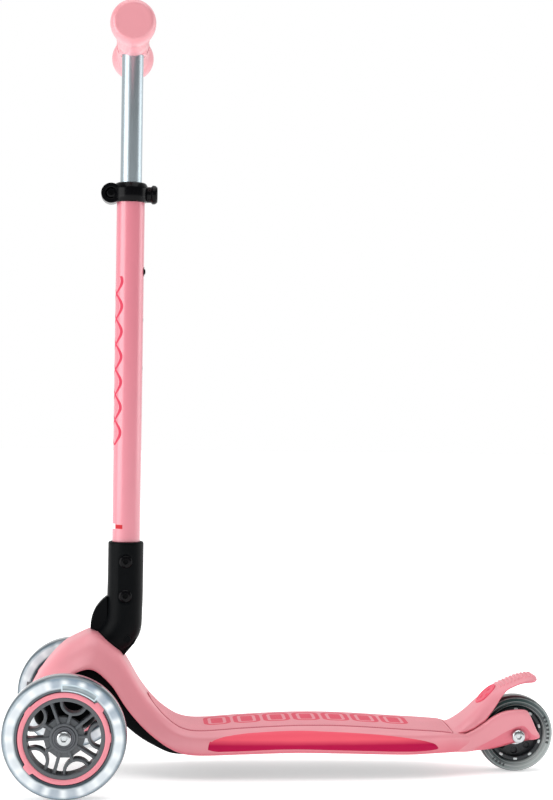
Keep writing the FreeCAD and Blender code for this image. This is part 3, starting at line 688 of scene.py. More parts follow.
class Finishes:
    """Every material of the scooter, made once."""

    def __init__(self) -> None:
        """Makes the materials."""
        pink = (223, 139, 149)
        # the shell and brake finishes paint shade on their downward-facing faces
        self.shell = Moulded("pink_shell", pink, 0.42, shine=0.8, painted_underside_shade=0.8).make()
        self.brake = Moulded("pink_brake", (222, 136, 147), 0.42, shine=0.8, painted_underside_shade=0.8).make()
        self.grip = Moulded("pink_grip", (216, 142, 150), 0.34, grain=0.8, grain_depth=0.04, shine=0.8).make()
        self.ring = Moulded("pink_ring", (226, 134, 146), 0.36).make()
        self.badge = Moulded("deep_pink_badge", (224, 74, 100), 0.45).make()
        # darker pink bead that paints shade in the pad's groove
        self.seam = Moulded("pink_groove_shade", (178, 66, 88), 0.6).make()
        self.black = Moulded("black_plastic", (5, 7, 9), 0.40, cloud=0.25, shine=0.06).make()
        self.gloss_black = Moulded("black_gloss", (4, 4, 6), 0.20, cloud=0.25, shine=0.12).make()
        self.grey = Moulded("grey_hub", (80, 84, 88), 0.34, cloud=0.1).make()
        self.dark_hub = Moulded("dark_hub", (44, 48, 51), 0.34, cloud=0.15, shine=0.3).make()
        # pale dashes on the rear rim are painted light seen through its slots
        self.slot_light = Moulded("pale_slot_light", (190, 198, 198), 0.3).make()
        self.pad = DottedPad("dotted_pad", (228, 144, 154), (218, 56, 86)).make()
        # the leaf's lower colour is painted shade
        self.leaf = LeafInsert("leaf_insert", (236, 92, 110), (178, 0, 66)).make()
        self.tube = PaintedTube("painted_tube", (211, 121, 135), (200, 40, 72)).make(STEM_X)
        self.silver = BrushedMetal("silver_tube", (178, 190, 196), 0.36).make()
        self.bolt = BrushedMetal("zinc_steel", (188, 192, 194), 0.22, (1, 1, 1)).make()
        self.dark_steel = BrushedMetal("dark_steel", (92, 94, 98), 0.34, (1, 1, 1)).make()
        self.lit_tyre = LitTyre("lit_tyre").make(FRONT_X, FRONT_R)
        self.smoky_tyre = SmokyTyre("smoky_tyre").make(REAR_X, REAR_R)


# ---- fasteners ----
def hex_reach(count: int, across: float) -> Array:
    """Distance from the centre to a hexagon at each of count angles: R cos30 / cos(angle from a flat)."""
    angle = np.arange(count) * FULL_TURN / count
    return across * math.cos(math.pi / 6) / np.cos(np.mod(angle, math.pi / 3) - math.pi / 6)


def socket_head(skin: Skin, centre: tuple, out: tuple, radius: float, height: float, depth: float) -> Skin:
    """Adds a domed screw head with a hexagonal socket.

    Args:
        skin: the piece that it joins.
        centre: the middle of the head's underside.
        out: the direction that the head faces.
        radius: the head's radius.
        height: the head's height.
        depth: how deep the socket is.

    Returns:
        The piece.
    """
    count = 48
    first, second, along = frame_of(out)
    angle = np.arange(count) * FULL_TURN / count
    spoke = np.cos(angle)[:, None] * first + np.sin(angle)[:, None] * second
    hexagon = hex_reach(count, radius * 0.42)
    ring = np.ones(count)
    reach = np.stack([ring * 0.01, ring * radius, ring * radius, ring * radius * 0.96, ring * radius * 0.84,
                      ring * radius * 0.64, hexagon * 1.06, hexagon, hexagon, hexagon * 0.02])
    rise = np.array([0, 0, 0.3, 0.55, 0.82, 0.97, 1.0, 0.94, 0.94, 0.94]) * height
    rise[8:] -= depth
    rows = np.array(centre, float) + reach[..., None] * spoke[None] + rise[:, None, None] * along
    return skin.grid(rows, caps=True)


# ---- deck ----
@dataclass
class Deck:
    """The deck: its smooth skin, standing pad, leaf inserts, rear fork and the black frame beneath."""

    wall: float = 3.0
    pad_half: float = 38.0
    pad_front: float = -142.0
    pad_rear: float = 172.0
    pad_shoulder: float = -92.0
    pad_proud: float = 0.8
    fork_inner: float = 15.0
    panel_depth: float = 6.4
    seat_end: float = -150.0
    # x and height of the frame's lower edge
    frame_lows: tuple = (
        (201, 25.7), (171, 25.3), (120, 24.9), (60, 26.6), (10, 27.6), (-45, 26.4), (-85, 24.9),
        (-105, 24.9), (-120, 26.6), (-135, 33.0), (-150, 41.5), (-165, 54.0), (-180, 73.0),
        (-198, 86.0), (-214, 88.5), (-230, 88.0), (-250, 82.0),
    )
    leaf_front: float = -81.2
    leaf_rear: float = 157.0
    # x and height of the leaf's lower edge, then of its upper edge
    leaf_edges: tuple = (
        (-81.2, -75, -60, -42, -12, 15, 42, 78, 115, 142, 152, 157),
        (31.8, 30.2, 30.0, 30.6, 32.0, 32.2, 31.4, 30.2, 28.9, 29.2, 30.2, 31.4),
        (-81.2, -80.4, -77, -69, -56.5, -42, -28, -12, 15, 42, 78, 115, 133, 146, 153, 157),
        (32.1, 37.2, 40.8, 44.6, 47.6, 49.6, 50.6, 51.6, 52.4, 51.6, 49.4, 45.2, 42.2, 39.0, 36.0, 31.7),
    )
    # x, top, top half-width, shoulder, shoulder half-width, bottom, bottom half-width
    stations: tuple = (
        (201, 43.6, 25.0, 40.0, 28.0, 26.6, 26.6), (186, 44.6, 31.0, 41.0, 35.0, 26.5, 33.0),
        (172, 47.0, 37.5, 42.5, 42.0, 26.5, 39.5), (150, 48.8, 38.3, 44.2, 47.0, 26.4, 45.5),
        (120, 50.5, 38.5, 45.5, 50.5, 26.0, 49.5), (60, 54.0, 38.5, 49.0, 54.0, 28.0, 53.5),
        (10, 54.4, 38.5, 49.6, 55.0, 29.0, 54.5), (-45, 51.8, 38.5, 47.0, 54.0, 27.5, 54.0),
        (-85, 49.2, 38.5, 43.5, 51.5, 25.8, 51.5), (-105, 51.2, 38.0, 44.5, 49.0, 27.0, 49.0),
        (-120, 59.0, 36.5, 50.5, 46.0, 32.5, 47.0), (-135, 72.5, 34.0, 62.0, 42.0, 42.5, 44.5),
        (-150, 91.5, 31.0, 79.0, 38.5, 56.0, 43.0), (-165, 117.0, 28.0, 99.0, 37.0, 74.0, 43.0),
        (-180, 137.0, 25.5, 117.0, 37.5, 96.5, 45.0), (-198, 146.6, 24.5, 129.0, 40.0, 112.0, 49.0),
        (-214, 141.4, 26.0, 124.0, 44.0, 110.5, 54.0), (-230, 131.8, 28.0, 114.5, 47.5, 101.0, 58.0),
        (-246, 114.6, 30.0, 99.0, 49.0, 86.0, 59.0), (-259, 94.5, 30.0, 82.5, 47.0, 70.5, 56.0),
        (-268.5, 76.0, 27.5, 69.5, 42.0, 60.5, 48.0), (-272.5, 65.0, 24.5, 61.8, 37.0, 56.5, 42.0),
    )
    # x, low, high, outer half-width, height of the recessed panel's upper edge
    fork_stations: tuple = (
        (168, 27.0, 42.6, 38.0, 26.0), (178, 26.2, 43.0, 36.2, 26.0), (188, 25.6, 44.6, 33.2, 26.4),
        (198, 25.5, 48.6, 30.4, 29.2), (208, 25.6, 54.4, 28.0, 33.0), (218, 26.4, 60.8, 26.4, 37.6),
        (228, 28.6, 65.2, 25.4, 43.0), (238, 31.4, 67.0, 25.0, 47.8), (248, 33.6, 67.3, 24.8, 50.4),
        (253.5, 34.6, 65.8, 24.6, 46.8), (257.6, 35.2, 59.4, 24.4, 42.0), (261.4, 35.6, 51.0, 24.2, 40.4),
        (264.4, 36.4, 45.0, 24.0, 39.8), (266.4, 38.2, 42.2, 23.6, 39.6),
    )

    def columns(self, count: int = 230) -> Array:
        """The station table drawn out smoothly, its top trimmed by the sloping seat of the stem."""
        table = np.array(self.stations, float)
        knots = np.arange(len(table))
        columns = smooth_between(np.linspace(0, len(table) - 1, count), knots, table)
        slope = (SEAT_REAR[1] - SEAT_FRONT[1]) / (SEAT_REAR[0] - SEAT_FRONT[0])
        seat = SEAT_FRONT[1] + (columns[:, 0] - SEAT_FRONT[0]) * slope
        under_stem = columns[:, 0] < self.seat_end
        columns[:, 1] = np.where(under_stem, np.minimum(columns[:, 1], seat), columns[:, 1])
        columns[:, 3] = np.minimum(columns[:, 3], columns[:, 1] - 2.0)
        return columns

    def sections(self, inset: float = 0.0) -> Array:
        """Rounded cross-sections from rear to front, each from the right lower edge over the top."""
        x, top, top_y, shoulder, shoulder_y, bottom, bottom_y = self.columns().T
        top, shoulder = top - inset, shoulder - inset * 0.5
        top_y, shoulder_y, bottom_y = top_y - inset * 0.4, shoulder_y - inset, bottom_y - inset
        rise = top - shoulder
        right = [
            (bottom_y - 1.0, bottom),
            (bottom_y, bottom + 2.5),
            (0.45 * bottom_y + 0.55 * shoulder_y + 0.4, 0.5 * (bottom + 2.5 + shoulder)),
            (shoulder_y, shoulder),
            (0.72 * shoulder_y + 0.28 * top_y, shoulder + 0.48 * rise),
            (0.28 * shoulder_y + 0.72 * top_y, top - 0.14 * rise),
            (0.8 * top_y, top),
            (0.35 * top_y, top),
        ]
        half = np.stack([np.stack(pair, -1) for pair in right], axis=1)
        whole = np.concatenate([half, half[:, ::-1] * (-1, 1)], axis=1)
        run = rounded_run(whole, 5)
        return np.concatenate([np.broadcast_to(x[:, None, None], run.shape[:2] + (1,)), run], axis=-1)

    def top_at(self, x: Array, y: Array) -> Array:
        """Height of the skin's top at a grid of places, read across each section and then along them."""
        rows = self.sections()
        middle = rows.shape[1] // 2
        across = np.array([np.interp(y, row[::-1, 1], row[::-1, 2])
                           for row in rows[:, middle - 22:middle + 22]])
        stations = rows[::-1, 0, 0]
        return np.array([np.interp(x, stations, column) for column in across[::-1].T]).T

    def side_at(self, x: Array, z: Array) -> Array:
        """Half-width of the skin's side at paired places along it and up it."""
        rows = self.sections()
        heights = np.linspace(26.0, 53.5, 56)
        reach = np.array([np.interp(heights, row[:26, 2], row[:26, 1]) for row in rows])
        stations = rows[::-1, 0, 0]
        table = reach[::-1]
        i = np.clip(np.searchsorted(stations, x) - 1, 0, len(stations) - 2)
        s = (x - stations[i]) / (stations[i + 1] - stations[i])
        k = (z - heights[0]) / (heights[1] - heights[0])
        j = np.clip(k.astype(int), 0, len(heights) - 2)
        t = k - j
        low = table[i, j] * (1 - s) + table[i + 1, j] * s
        high = table[i, j + 1] * (1 - s) + table[i + 1, j + 1] * s
        return low * (1 - t) + high * t

    def make_skin(self, finishes: Finishes) -> None:
        """The pink skin with its two fork arms, a thin shell open underneath."""
        rows = self.sections()
        inner = self.sections(self.wall)
        inner[..., 2] = np.minimum(inner[..., 2], rows[..., 2])
        inner[:, [0, -1], 2] = rows[:, [0, -1], 2] + 0.4
        loop = np.concatenate([rows, inner[:, ::-1]], axis=1)
        skin = Skin("deck_skin").grid(loop, around=True)
        skin.faces += self.end_walls(rows.shape[0], rows.shape[1])
        for side in Side:
            skin.grid(self.fork_rows(side), caps=True)
        fitted(skin.mesh(40), "deck", finishes.shell, ("deck_shell",))

    @staticmethod
    def end_walls(rows: int, half: int) -> list[list[int]]:
        """Quads that close the skin's wall at its two ends."""
        ends = []
        for start in (0, (rows - 1) * 2 * half):
            outer = np.arange(half) + start
            inner = start + 2 * half - 1 - np.arange(half)
            ends += np.stack([outer[:-1], outer[1:], inner[1:], inner[:-1]], -1).tolist()
        return ends

    def fork_rows(self, side: Side) -> Array:
        """One fork arm: rounded loops whose outer face is drawn in below a slanting edge."""
        table = np.array(self.fork_stations, float)
        knots = np.arange(len(table))
        x, low, high, outer, edge = smooth_between(np.linspace(0, len(table) - 1, 90), knots, table).T
        inner = np.full_like(x, self.fork_inner)
        panel = np.clip((edge - low - 1.0) / 9.0, 0, 1) * self.panel_depth
        loop = [
            (inner, low), (inner, high - 2.4), (inner + 1.6, high - 1.0), (outer - 4.0, high + 0.3),
            (outer - 1.0, high - 1.0), (outer, high - 4.0), (outer, 0.5 * (high + edge)), (outer, edge + 1.2),
            (outer - 0.1, edge + 0.3), (outer - 0.1 * panel, edge - 0.5), (outer - 0.28 * panel, edge - 2.4),
            (outer - panel, low + 1.4), (outer - panel - 1.2, low), (0.5 * (inner + outer), low),
        ]
        corners = np.stack([np.stack(pair, -1) for pair in loop], axis=1)
        corners[..., 1] = np.maximum(corners[..., 1], low[:, None])
        run = rounded_run(corners, 4, closed=True)
        run[..., 0] *= side.value
        return np.concatenate([np.broadcast_to(x[:, None, None], run.shape[:2] + (1,)), run], axis=-1)

    def pad_edge(self, x: Array) -> Array:
        """Half-width of the pad: constant, then a quarter ellipse to the front tip."""
        reach = np.clip((self.pad_shoulder - x) / (self.pad_shoulder - self.pad_front), 0, 1)
        return self.pad_half * np.sqrt(np.maximum(1 - reach**2, 0.0))

    def make_pad(self, finishes: Finishes) -> None:
        """The standing pad: the skin's top lifted a little, its rim rolled down into the skin."""
        turn = np.linspace(0, math.pi / 2, 26)
        x = np.concatenate([np.linspace(self.pad_rear, self.pad_shoulder, 110)[:-1],
                            self.pad_shoulder - (self.pad_shoulder - self.pad_front) * np.sin(turn)])
        across = np.concatenate([[-1.0, -0.995], np.linspace(-0.985, 0.985, 41), [0.995, 1.0]])
        drop = np.concatenate([[-1.2, 0.2], np.full(41, self.pad_proud), [0.2, -1.2]])
        half = self.pad_edge(x)
        y = half[:, None] * across[None]
        grid_y = np.linspace(-40, 40, 81)
        heights = self.top_at(x, grid_y)
        z = np.array([np.interp(row_y, grid_y, row_z) for row_y, row_z in zip(y, heights)])
        lip = 1.0 * soft_step(-x, -self.pad_front - 5.0, -self.pad_front - 0.5)
        lift = drop[None] + lip[:, None] * (drop[None] > 0.5)
        lift[0] = -1.2
        rows = np.stack([np.broadcast_to(x[:, None], y.shape), y, z + lift], -1)
        under = rows.copy()
        under[..., 2] = z - 1.6
        pad = Skin("standing_pad").grid(np.concatenate([rows, under[:, ::-1]], axis=1), caps=True)
        fitted(pad.mesh(50), "deck", finishes.pad, ("deck_pad",))
        self.make_groove_shade(finishes, x, y[:, 0] - 0.5, z[:, 0])

    def make_groove_shade(self, finishes: Finishes, x: Array, y: Array, z: Array) -> None:
        """The fine groove line round the pad: a thin darker bead along its outline, painted shade in the
        groove.
        """
        left = np.stack([x, y, z - 0.12], -1)
        right = (left * (1, -1, 1))[::-1]
        rear = np.linspace(left[0], right[-1], 20)[1:-1][::-1]
        rear[:, 2] = self.top_at(np.array([self.pad_rear + 0.6]), rear[:, 1])[0] - 0.12
        rear[:, 0] += 0.6
        path = np.concatenate([left, right[1:], rear])
        section = oval(0.42, 0.42, 2.0, 8)
        along = np.roll(path, -1, 0) - np.roll(path, 1, 0)
        along /= np.linalg.norm(along, axis=1)[:, None]
        across = np.cross(along, (0, 0, 1.0))
        across /= np.linalg.norm(across, axis=1)[:, None]
        up = np.cross(across, along)
        rows = path[:, None] + section[None, :, :1] * across[:, None] + section[None, :, 1:] * up[:, None]
        # the bead is painted shade in the groove round the pad
        fitted(Skin("pad_groove_shade").grid(rows, along=True).mesh(80), "deck", finishes.seam)

    def make_leaves(self, finishes: Finishes) -> None:
        """The leaf inserts: side surface between a low and a high arc, swelling 1.2 mm in the middle."""
        ends = (1 - np.cos(np.linspace(0, math.pi, 110))) / 2
        x = self.leaf_rear + (self.leaf_front - self.leaf_rear) * ends
        low_x, low_z, high_x, high_z = (np.array(row, float) for row in self.leaf_edges)
        low = smooth_between(x[::-1], low_x, low_z)[::-1, 0]
        high = np.maximum(smooth_between(x[::-1], high_x, high_z)[::-1, 0], low + 0.3)
        s = np.linspace(0, 1, 17)
        z = low[:, None] + (high - low)[:, None] * s[None]
        grid_x = np.broadcast_to(x[:, None], z.shape)
        swell = 1.1 * np.sin(math.pi * s)[None] ** 0.4 * np.clip((high - low)[:, None] / 6, 0, 1)
        outer = self.side_at(grid_x, z) - 0.3 + swell
        inner = outer - swell - 1.4
        for side, name in ((Side.LEFT, "left"), (Side.RIGHT, "right")):
            face = np.stack([grid_x, side.value * outer, z], -1)
            back = np.stack([grid_x, side.value * inner, z], -1)[:, ::-1]
            leaf = Skin("leaf_insert_" + name).grid(np.concatenate([face, back], axis=1), caps=True)
            fitted(leaf.mesh(50), "deck", finishes.leaf, ("side_trim_" + name,))

    def make_frame(self, finishes: Finishes) -> None:
        """The black frame inside the skin: closed loops that reach below its lower edge."""
        lows = np.array(self.frame_lows)[::-1]
        columns = self.columns()
        keep = (columns[:, 0] <= 200) & (columns[:, 0] >= -250)
        x, top, top_y, shoulder, shoulder_y, bottom, bottom_y = columns[keep].T
        inset = self.wall + 0.4
        low = smooth_between(x[::-1], lows[:, 0], lows[:, 1])[::-1, 0]
        low = np.minimum(low, bottom - 0.4)
        side = np.where(x > 160, np.minimum(bottom_y - inset, 14 + (201 - x) * 0.4), bottom_y - inset)
        right = [
            (0.3 * side, low), (side - 7.0, low), (side - 1.2, low + 1.2), (side, low + 6.0),
            (np.minimum(side, shoulder_y - inset), np.maximum(shoulder - 2.0, low + 7.0)),
            (np.minimum(side, top_y - 3.0), top - inset - 0.5), (0.3 * side, top - inset - 0.5),
        ]
        half = np.stack([np.stack(pair, -1) for pair in right], axis=1)
        half[..., 1] = np.minimum(half[..., 1], (top - inset)[:, None])
        whole = np.concatenate([half, half[:, ::-1] * (-1, 1)], axis=1)
        run = rounded_run(whole, 4, closed=True)
        rows = np.concatenate([np.broadcast_to(x[:, None, None], run.shape[:2] + (1,)), run], axis=-1)
        frame = Skin("under_frame_shell").grid(rows, caps=True)
        tilt = math.radians(35)
        axis = (-math.sin(tilt), 0, math.cos(tilt))
        profile = filleted([(0.01, 16.6), (17, 16.6), (18.5, 26), (22, 34), (22, 42), (0.01, 42)], 2.5)
        frame.revolve(profile, (FRONT_X + 8, 0, 55), axis)
        fitted(frame.mesh(40), "deck", finishes.black, ("under_frame",))

    def make(self, finishes: Finishes) -> None:
        """Makes the whole deck."""
        self.make_skin(finishes)
        self.make_pad(finishes)
        self.make_leaves(finishes)
        self.make_frame(finishes)


# ---- brake ----
@dataclass
class Brake:
    """The foot brake: a thick curved lever with cross ribs and a round badge."""

    tyre_gap: float = 43.0
    groove_half: float = 14.2
    rib_count: int = 10
    # x, top, lower edge, half-width
    stations: tuple = (
        (173.2, 47.2, 43.4, 36.0), (180, 51.0, 43.9, 33.8), (188, 56.8, 44.8, 30.6), (196, 63.6, 47.5, 28.0),
        (203, 70.8, 51.4, 25.8), (209, 76.2, 55.2, 24.2), (215, 82.6, 62.6, 22.8), (221, 87.4, 71.0, 21.8),
        (227, 90.8, 80.2, 21.0), (233, 93.4, 86.8, 20.6), (239, 96.0, 90.0, 20.3), (246, 98.8, 92.8, 20.0),
        (253, 100.6, 94.2, 19.4), (258.6, 101.4, 94.4, 18.4), (262.6, 101.2, 95.0, 16.6),
        (264.8, 100.2, 96.4, 14.0),
    )

    def columns(self, at: Optional[Array] = None) -> Array:
        """The stations drawn out smoothly, evenly along the table or at wanted distances."""
        table = np.array(self.stations, float)
        if at is not None:
            return smooth_between(at, table[:, 0], table)
        return smooth_between(np.linspace(0, len(table) - 1, 120), np.arange(len(table)), table)

    def make(self, finishes: Finishes) -> None:
        """Makes the lever, its ribs and its badge."""
        x, top, low, half = self.columns().T
        arc = REAR_R + np.sqrt(np.maximum(self.tyre_gap**2 - (x - REAR_X) ** 2, 0.0))
        roof = np.where(np.abs(x - REAR_X) < self.tyre_gap, np.maximum(low, np.minimum(arc, top - 3.0)), low)
        groove = np.minimum(self.groove_half, half - 3.0)
        crown = np.minimum(2.4, 0.3 * (top - low))
        right = [
            (0.5 * groove, roof), (groove - 0.3, roof), (groove, 0.5 * (roof + low) - 0.1),
            (groove + 0.3, low), (half - 1.6, low), (half, low + crown),
            (half - 0.9, 0.5 * (low + top)), (0.80 * half, top - crown),
            (0.66 * half, top - 0.3), (0.3 * half, top + 0.2),
        ]
        corners = np.stack([np.stack(pair, -1) for pair in right], axis=1)
        whole = np.concatenate([corners, corners[:, ::-1] * (-1, 1)], axis=1)
        run = rounded_run(whole, 4, closed=True)
        rows = np.concatenate([np.broadcast_to(x[:, None, None], run.shape[:2] + (1,)), run], axis=-1)
        lever = Skin("brake_fender").grid(rows, caps=True)
        barrel = filleted([(2.6, -14), (6, -14), (6, 14), (2.6, 14), (2.6, -14)], 0.6)
        lever.revolve(barrel, (187, 0, 38))
        web = filleted([(182.5, 40), (190.5, 40), (192.5, 51), (185, 52)], 1.0, closed=True)
        lever.prism(web, -14, 14)
        at = np.linspace(226.5, 260.5, self.rib_count)
        for rib_x, rib_z, _, rib_half in self.columns(at):
            reach = 0.7 * rib_half
            y = np.linspace(-reach, reach, 9)
            path = np.stack([np.full_like(y, rib_x), y, rib_z + 0.1 - 1.1 * np.abs(y / reach) ** 4], -1)
            lever.grid(self.rib_rows(path), caps=True)
        fitted(lever.mesh(42), "brake", finishes.brake, ("brake_lever",))
        self.make_badge(finishes)

    @staticmethod
    def rib_rows(path: Array) -> Array:
        """A rounded bar carried along a path that runs sideways."""
        section = oval(1.0, 1.15, 2.4, 16)
        flat = np.zeros((len(path), len(section), 3))
        flat[..., 0] = section[None, :, 0]
        flat[..., 2] = section[None, :, 1]
        return path[:, None] + flat

    def make_badge(self, finishes: Finishes) -> None:
        """A round badge set on the lever's slope: a rim, a hollow and three small pips."""
        near = self.columns(np.array([207.0, 213.0, 219.0]))
        slope = near[2, :2] - near[0, :2]
        normal = (-slope[1], 0.0, slope[0])
        centre = (near[1, 0], 0.0, near[1, 1])
        rim = [(13.6, -2.5), (13.6, 0.6), (11.6, 1.0), (10.9, 0.3)]
        profile = filleted([(0.01, -2.5)] + rim + [(0.01, 0.3)], 0.3)
        badge = Skin("brake_badge_disc").revolve(profile, centre, normal)
        first, second, along = frame_of(normal)
        pip = filleted([(0.01, 0.2), (2.2, 0.2), (2.2, 0.8), (0.01, 1.0)], 0.3)
        for i in range(3):
            turn = FULL_TURN * i / 3
            spot = np.array(centre) + 5.9 * (math.cos(turn) * first + math.sin(turn) * second)
            badge.revolve(pip, tuple(spot), tuple(along), 20)
        fitted(badge.mesh(50), "brake", finishes.badge, ("brake_badge",))


# ---- front truck ----
@dataclass
class Truck:
    """The black cross beam that leans to steer, with a shield on each arm and its two axle bolts."""

    tilt: float = 35.0
    foot_x: float = FRONT_X + 8.0
    foot_z: float = 55.0
    hub_radius: float = 15.0
    hub_low: float = -9.0
    hub_high: float = 16.0
    beam_end: float = 110.0
    bolt_start: float = 86.0
    bolt_end: float = 136.0
    pod_span: tuple = (84.0, 105.0)
    pod_half_x: float = 30.0
    pod_half_z: float = 16.5
    pod_forward: float = -1.0
    pod_rise: float = 17.5

    def arm_rows(self, side: Side) -> Array:
        """One arm: rounded boxes that slim down from the middle to the axle."""
        y = np.linspace(0, self.beam_end, 40)
        taper = soft_step(y, 6, 70)
        half_x, half_z = 13 - 3.5 * taper, 11 - 2 * taper
        end = np.clip((y - (self.beam_end - 3)) / 3, 0, 1) ** 2 * 1.5
        section = oval(half_x - end, half_z - end, 4.0, 40)
        rows = np.empty(section.shape[:2] + (3,))
        rows[..., 0] = FRONT_X + section[..., 0]
        rows[..., 1] = side.value * y[:, None]
        rows[..., 2] = FRONT_R + section[..., 1]
        return rows

    def pod_rows(self, side: Side) -> Array:
        """The broad shield on one arm, just inside its wheel: a rounded box above the axle line."""
        y = np.linspace(*self.pod_span, 16)
        swell = 1 - 0.3 * (2 * (y - y[0]) / (y[-1] - y[0]) - 1) ** 4
        section = oval(self.pod_half_x * swell, self.pod_half_z * swell, 2.8, 56)
        rows = np.empty(section.shape[:2] + (3,))
        rows[..., 0] = FRONT_X + self.pod_forward + section[..., 0]
        rows[..., 1] = side.value * y[:, None]
        rows[..., 2] = FRONT_R + self.pod_rise + section[..., 1]
        return rows

    def make(self, finishes: Finishes) -> None:
        """Makes the beam and its bolts."""
        tilt = math.radians(self.tilt)
        axis = (-math.sin(tilt), 0, math.cos(tilt))
        barrel = filleted([(7.0, self.hub_low), (self.hub_radius, self.hub_low),
                           (self.hub_radius, self.hub_high), (7.0, self.hub_high), (7.0, self.hub_low)], 1.2)
        beam = Skin("truck_beam_casting").revolve(barrel, (self.foot_x, 0, self.foot_z), axis)
        for side in Side:
            beam.grid(self.arm_rows(side), caps=True)
            collar = filleted([(4.2, 108), (8.2, 108), (7.2, 115.6), (4.2, 115.6), (4.2, 108)], 0.8)
            beam.revolve(collar, (FRONT_X, 0, FRONT_R), (0, side.value, 0), 48)
            beam.grid(self.pod_rows(side), caps=True)
        fitted(beam.mesh(40), "truck", finishes.black, ("truck_beam",))
        bolts = Skin("axle_bolts_front")
        for side in Side:
            shank = [(0.01, self.bolt_start), (4, self.bolt_start), (4, self.bolt_end), (0.01, self.bolt_end)]
            bolts.revolve(shank, (FRONT_X, 0, FRONT_R), (0, side.value, 0), 32)
            head = (FRONT_X, side.value * self.bolt_end, FRONT_R)
            socket_head(bolts, head, (0, side.value, 0), 7.5, 4.0, 3.0)
        fitted(bolts.mesh(30), "truck", finishes.bolt, ("front_axle_bolts",))


# ---- wheels ----
def tyre_loop(inner: float, outer: float, half: float) -> Array:
    """Closed tyre section of (radius, offset): a crowned tread, rounded shoulders, straight side walls."""
    right = [(inner, half - 1.4), (inner + 3.0, half - 0.6), (outer - 8.0, half), (outer - 3.0, half - 0.4),
             (outer - 0.5, half - 3.4), (outer, half * 0.35)]
    left = [(r, -y) for r, y in reversed(right)]
    run = rounded_run(np.array(right + left), 5, closed=True)
    return np.concatenate([run, run[:1]])


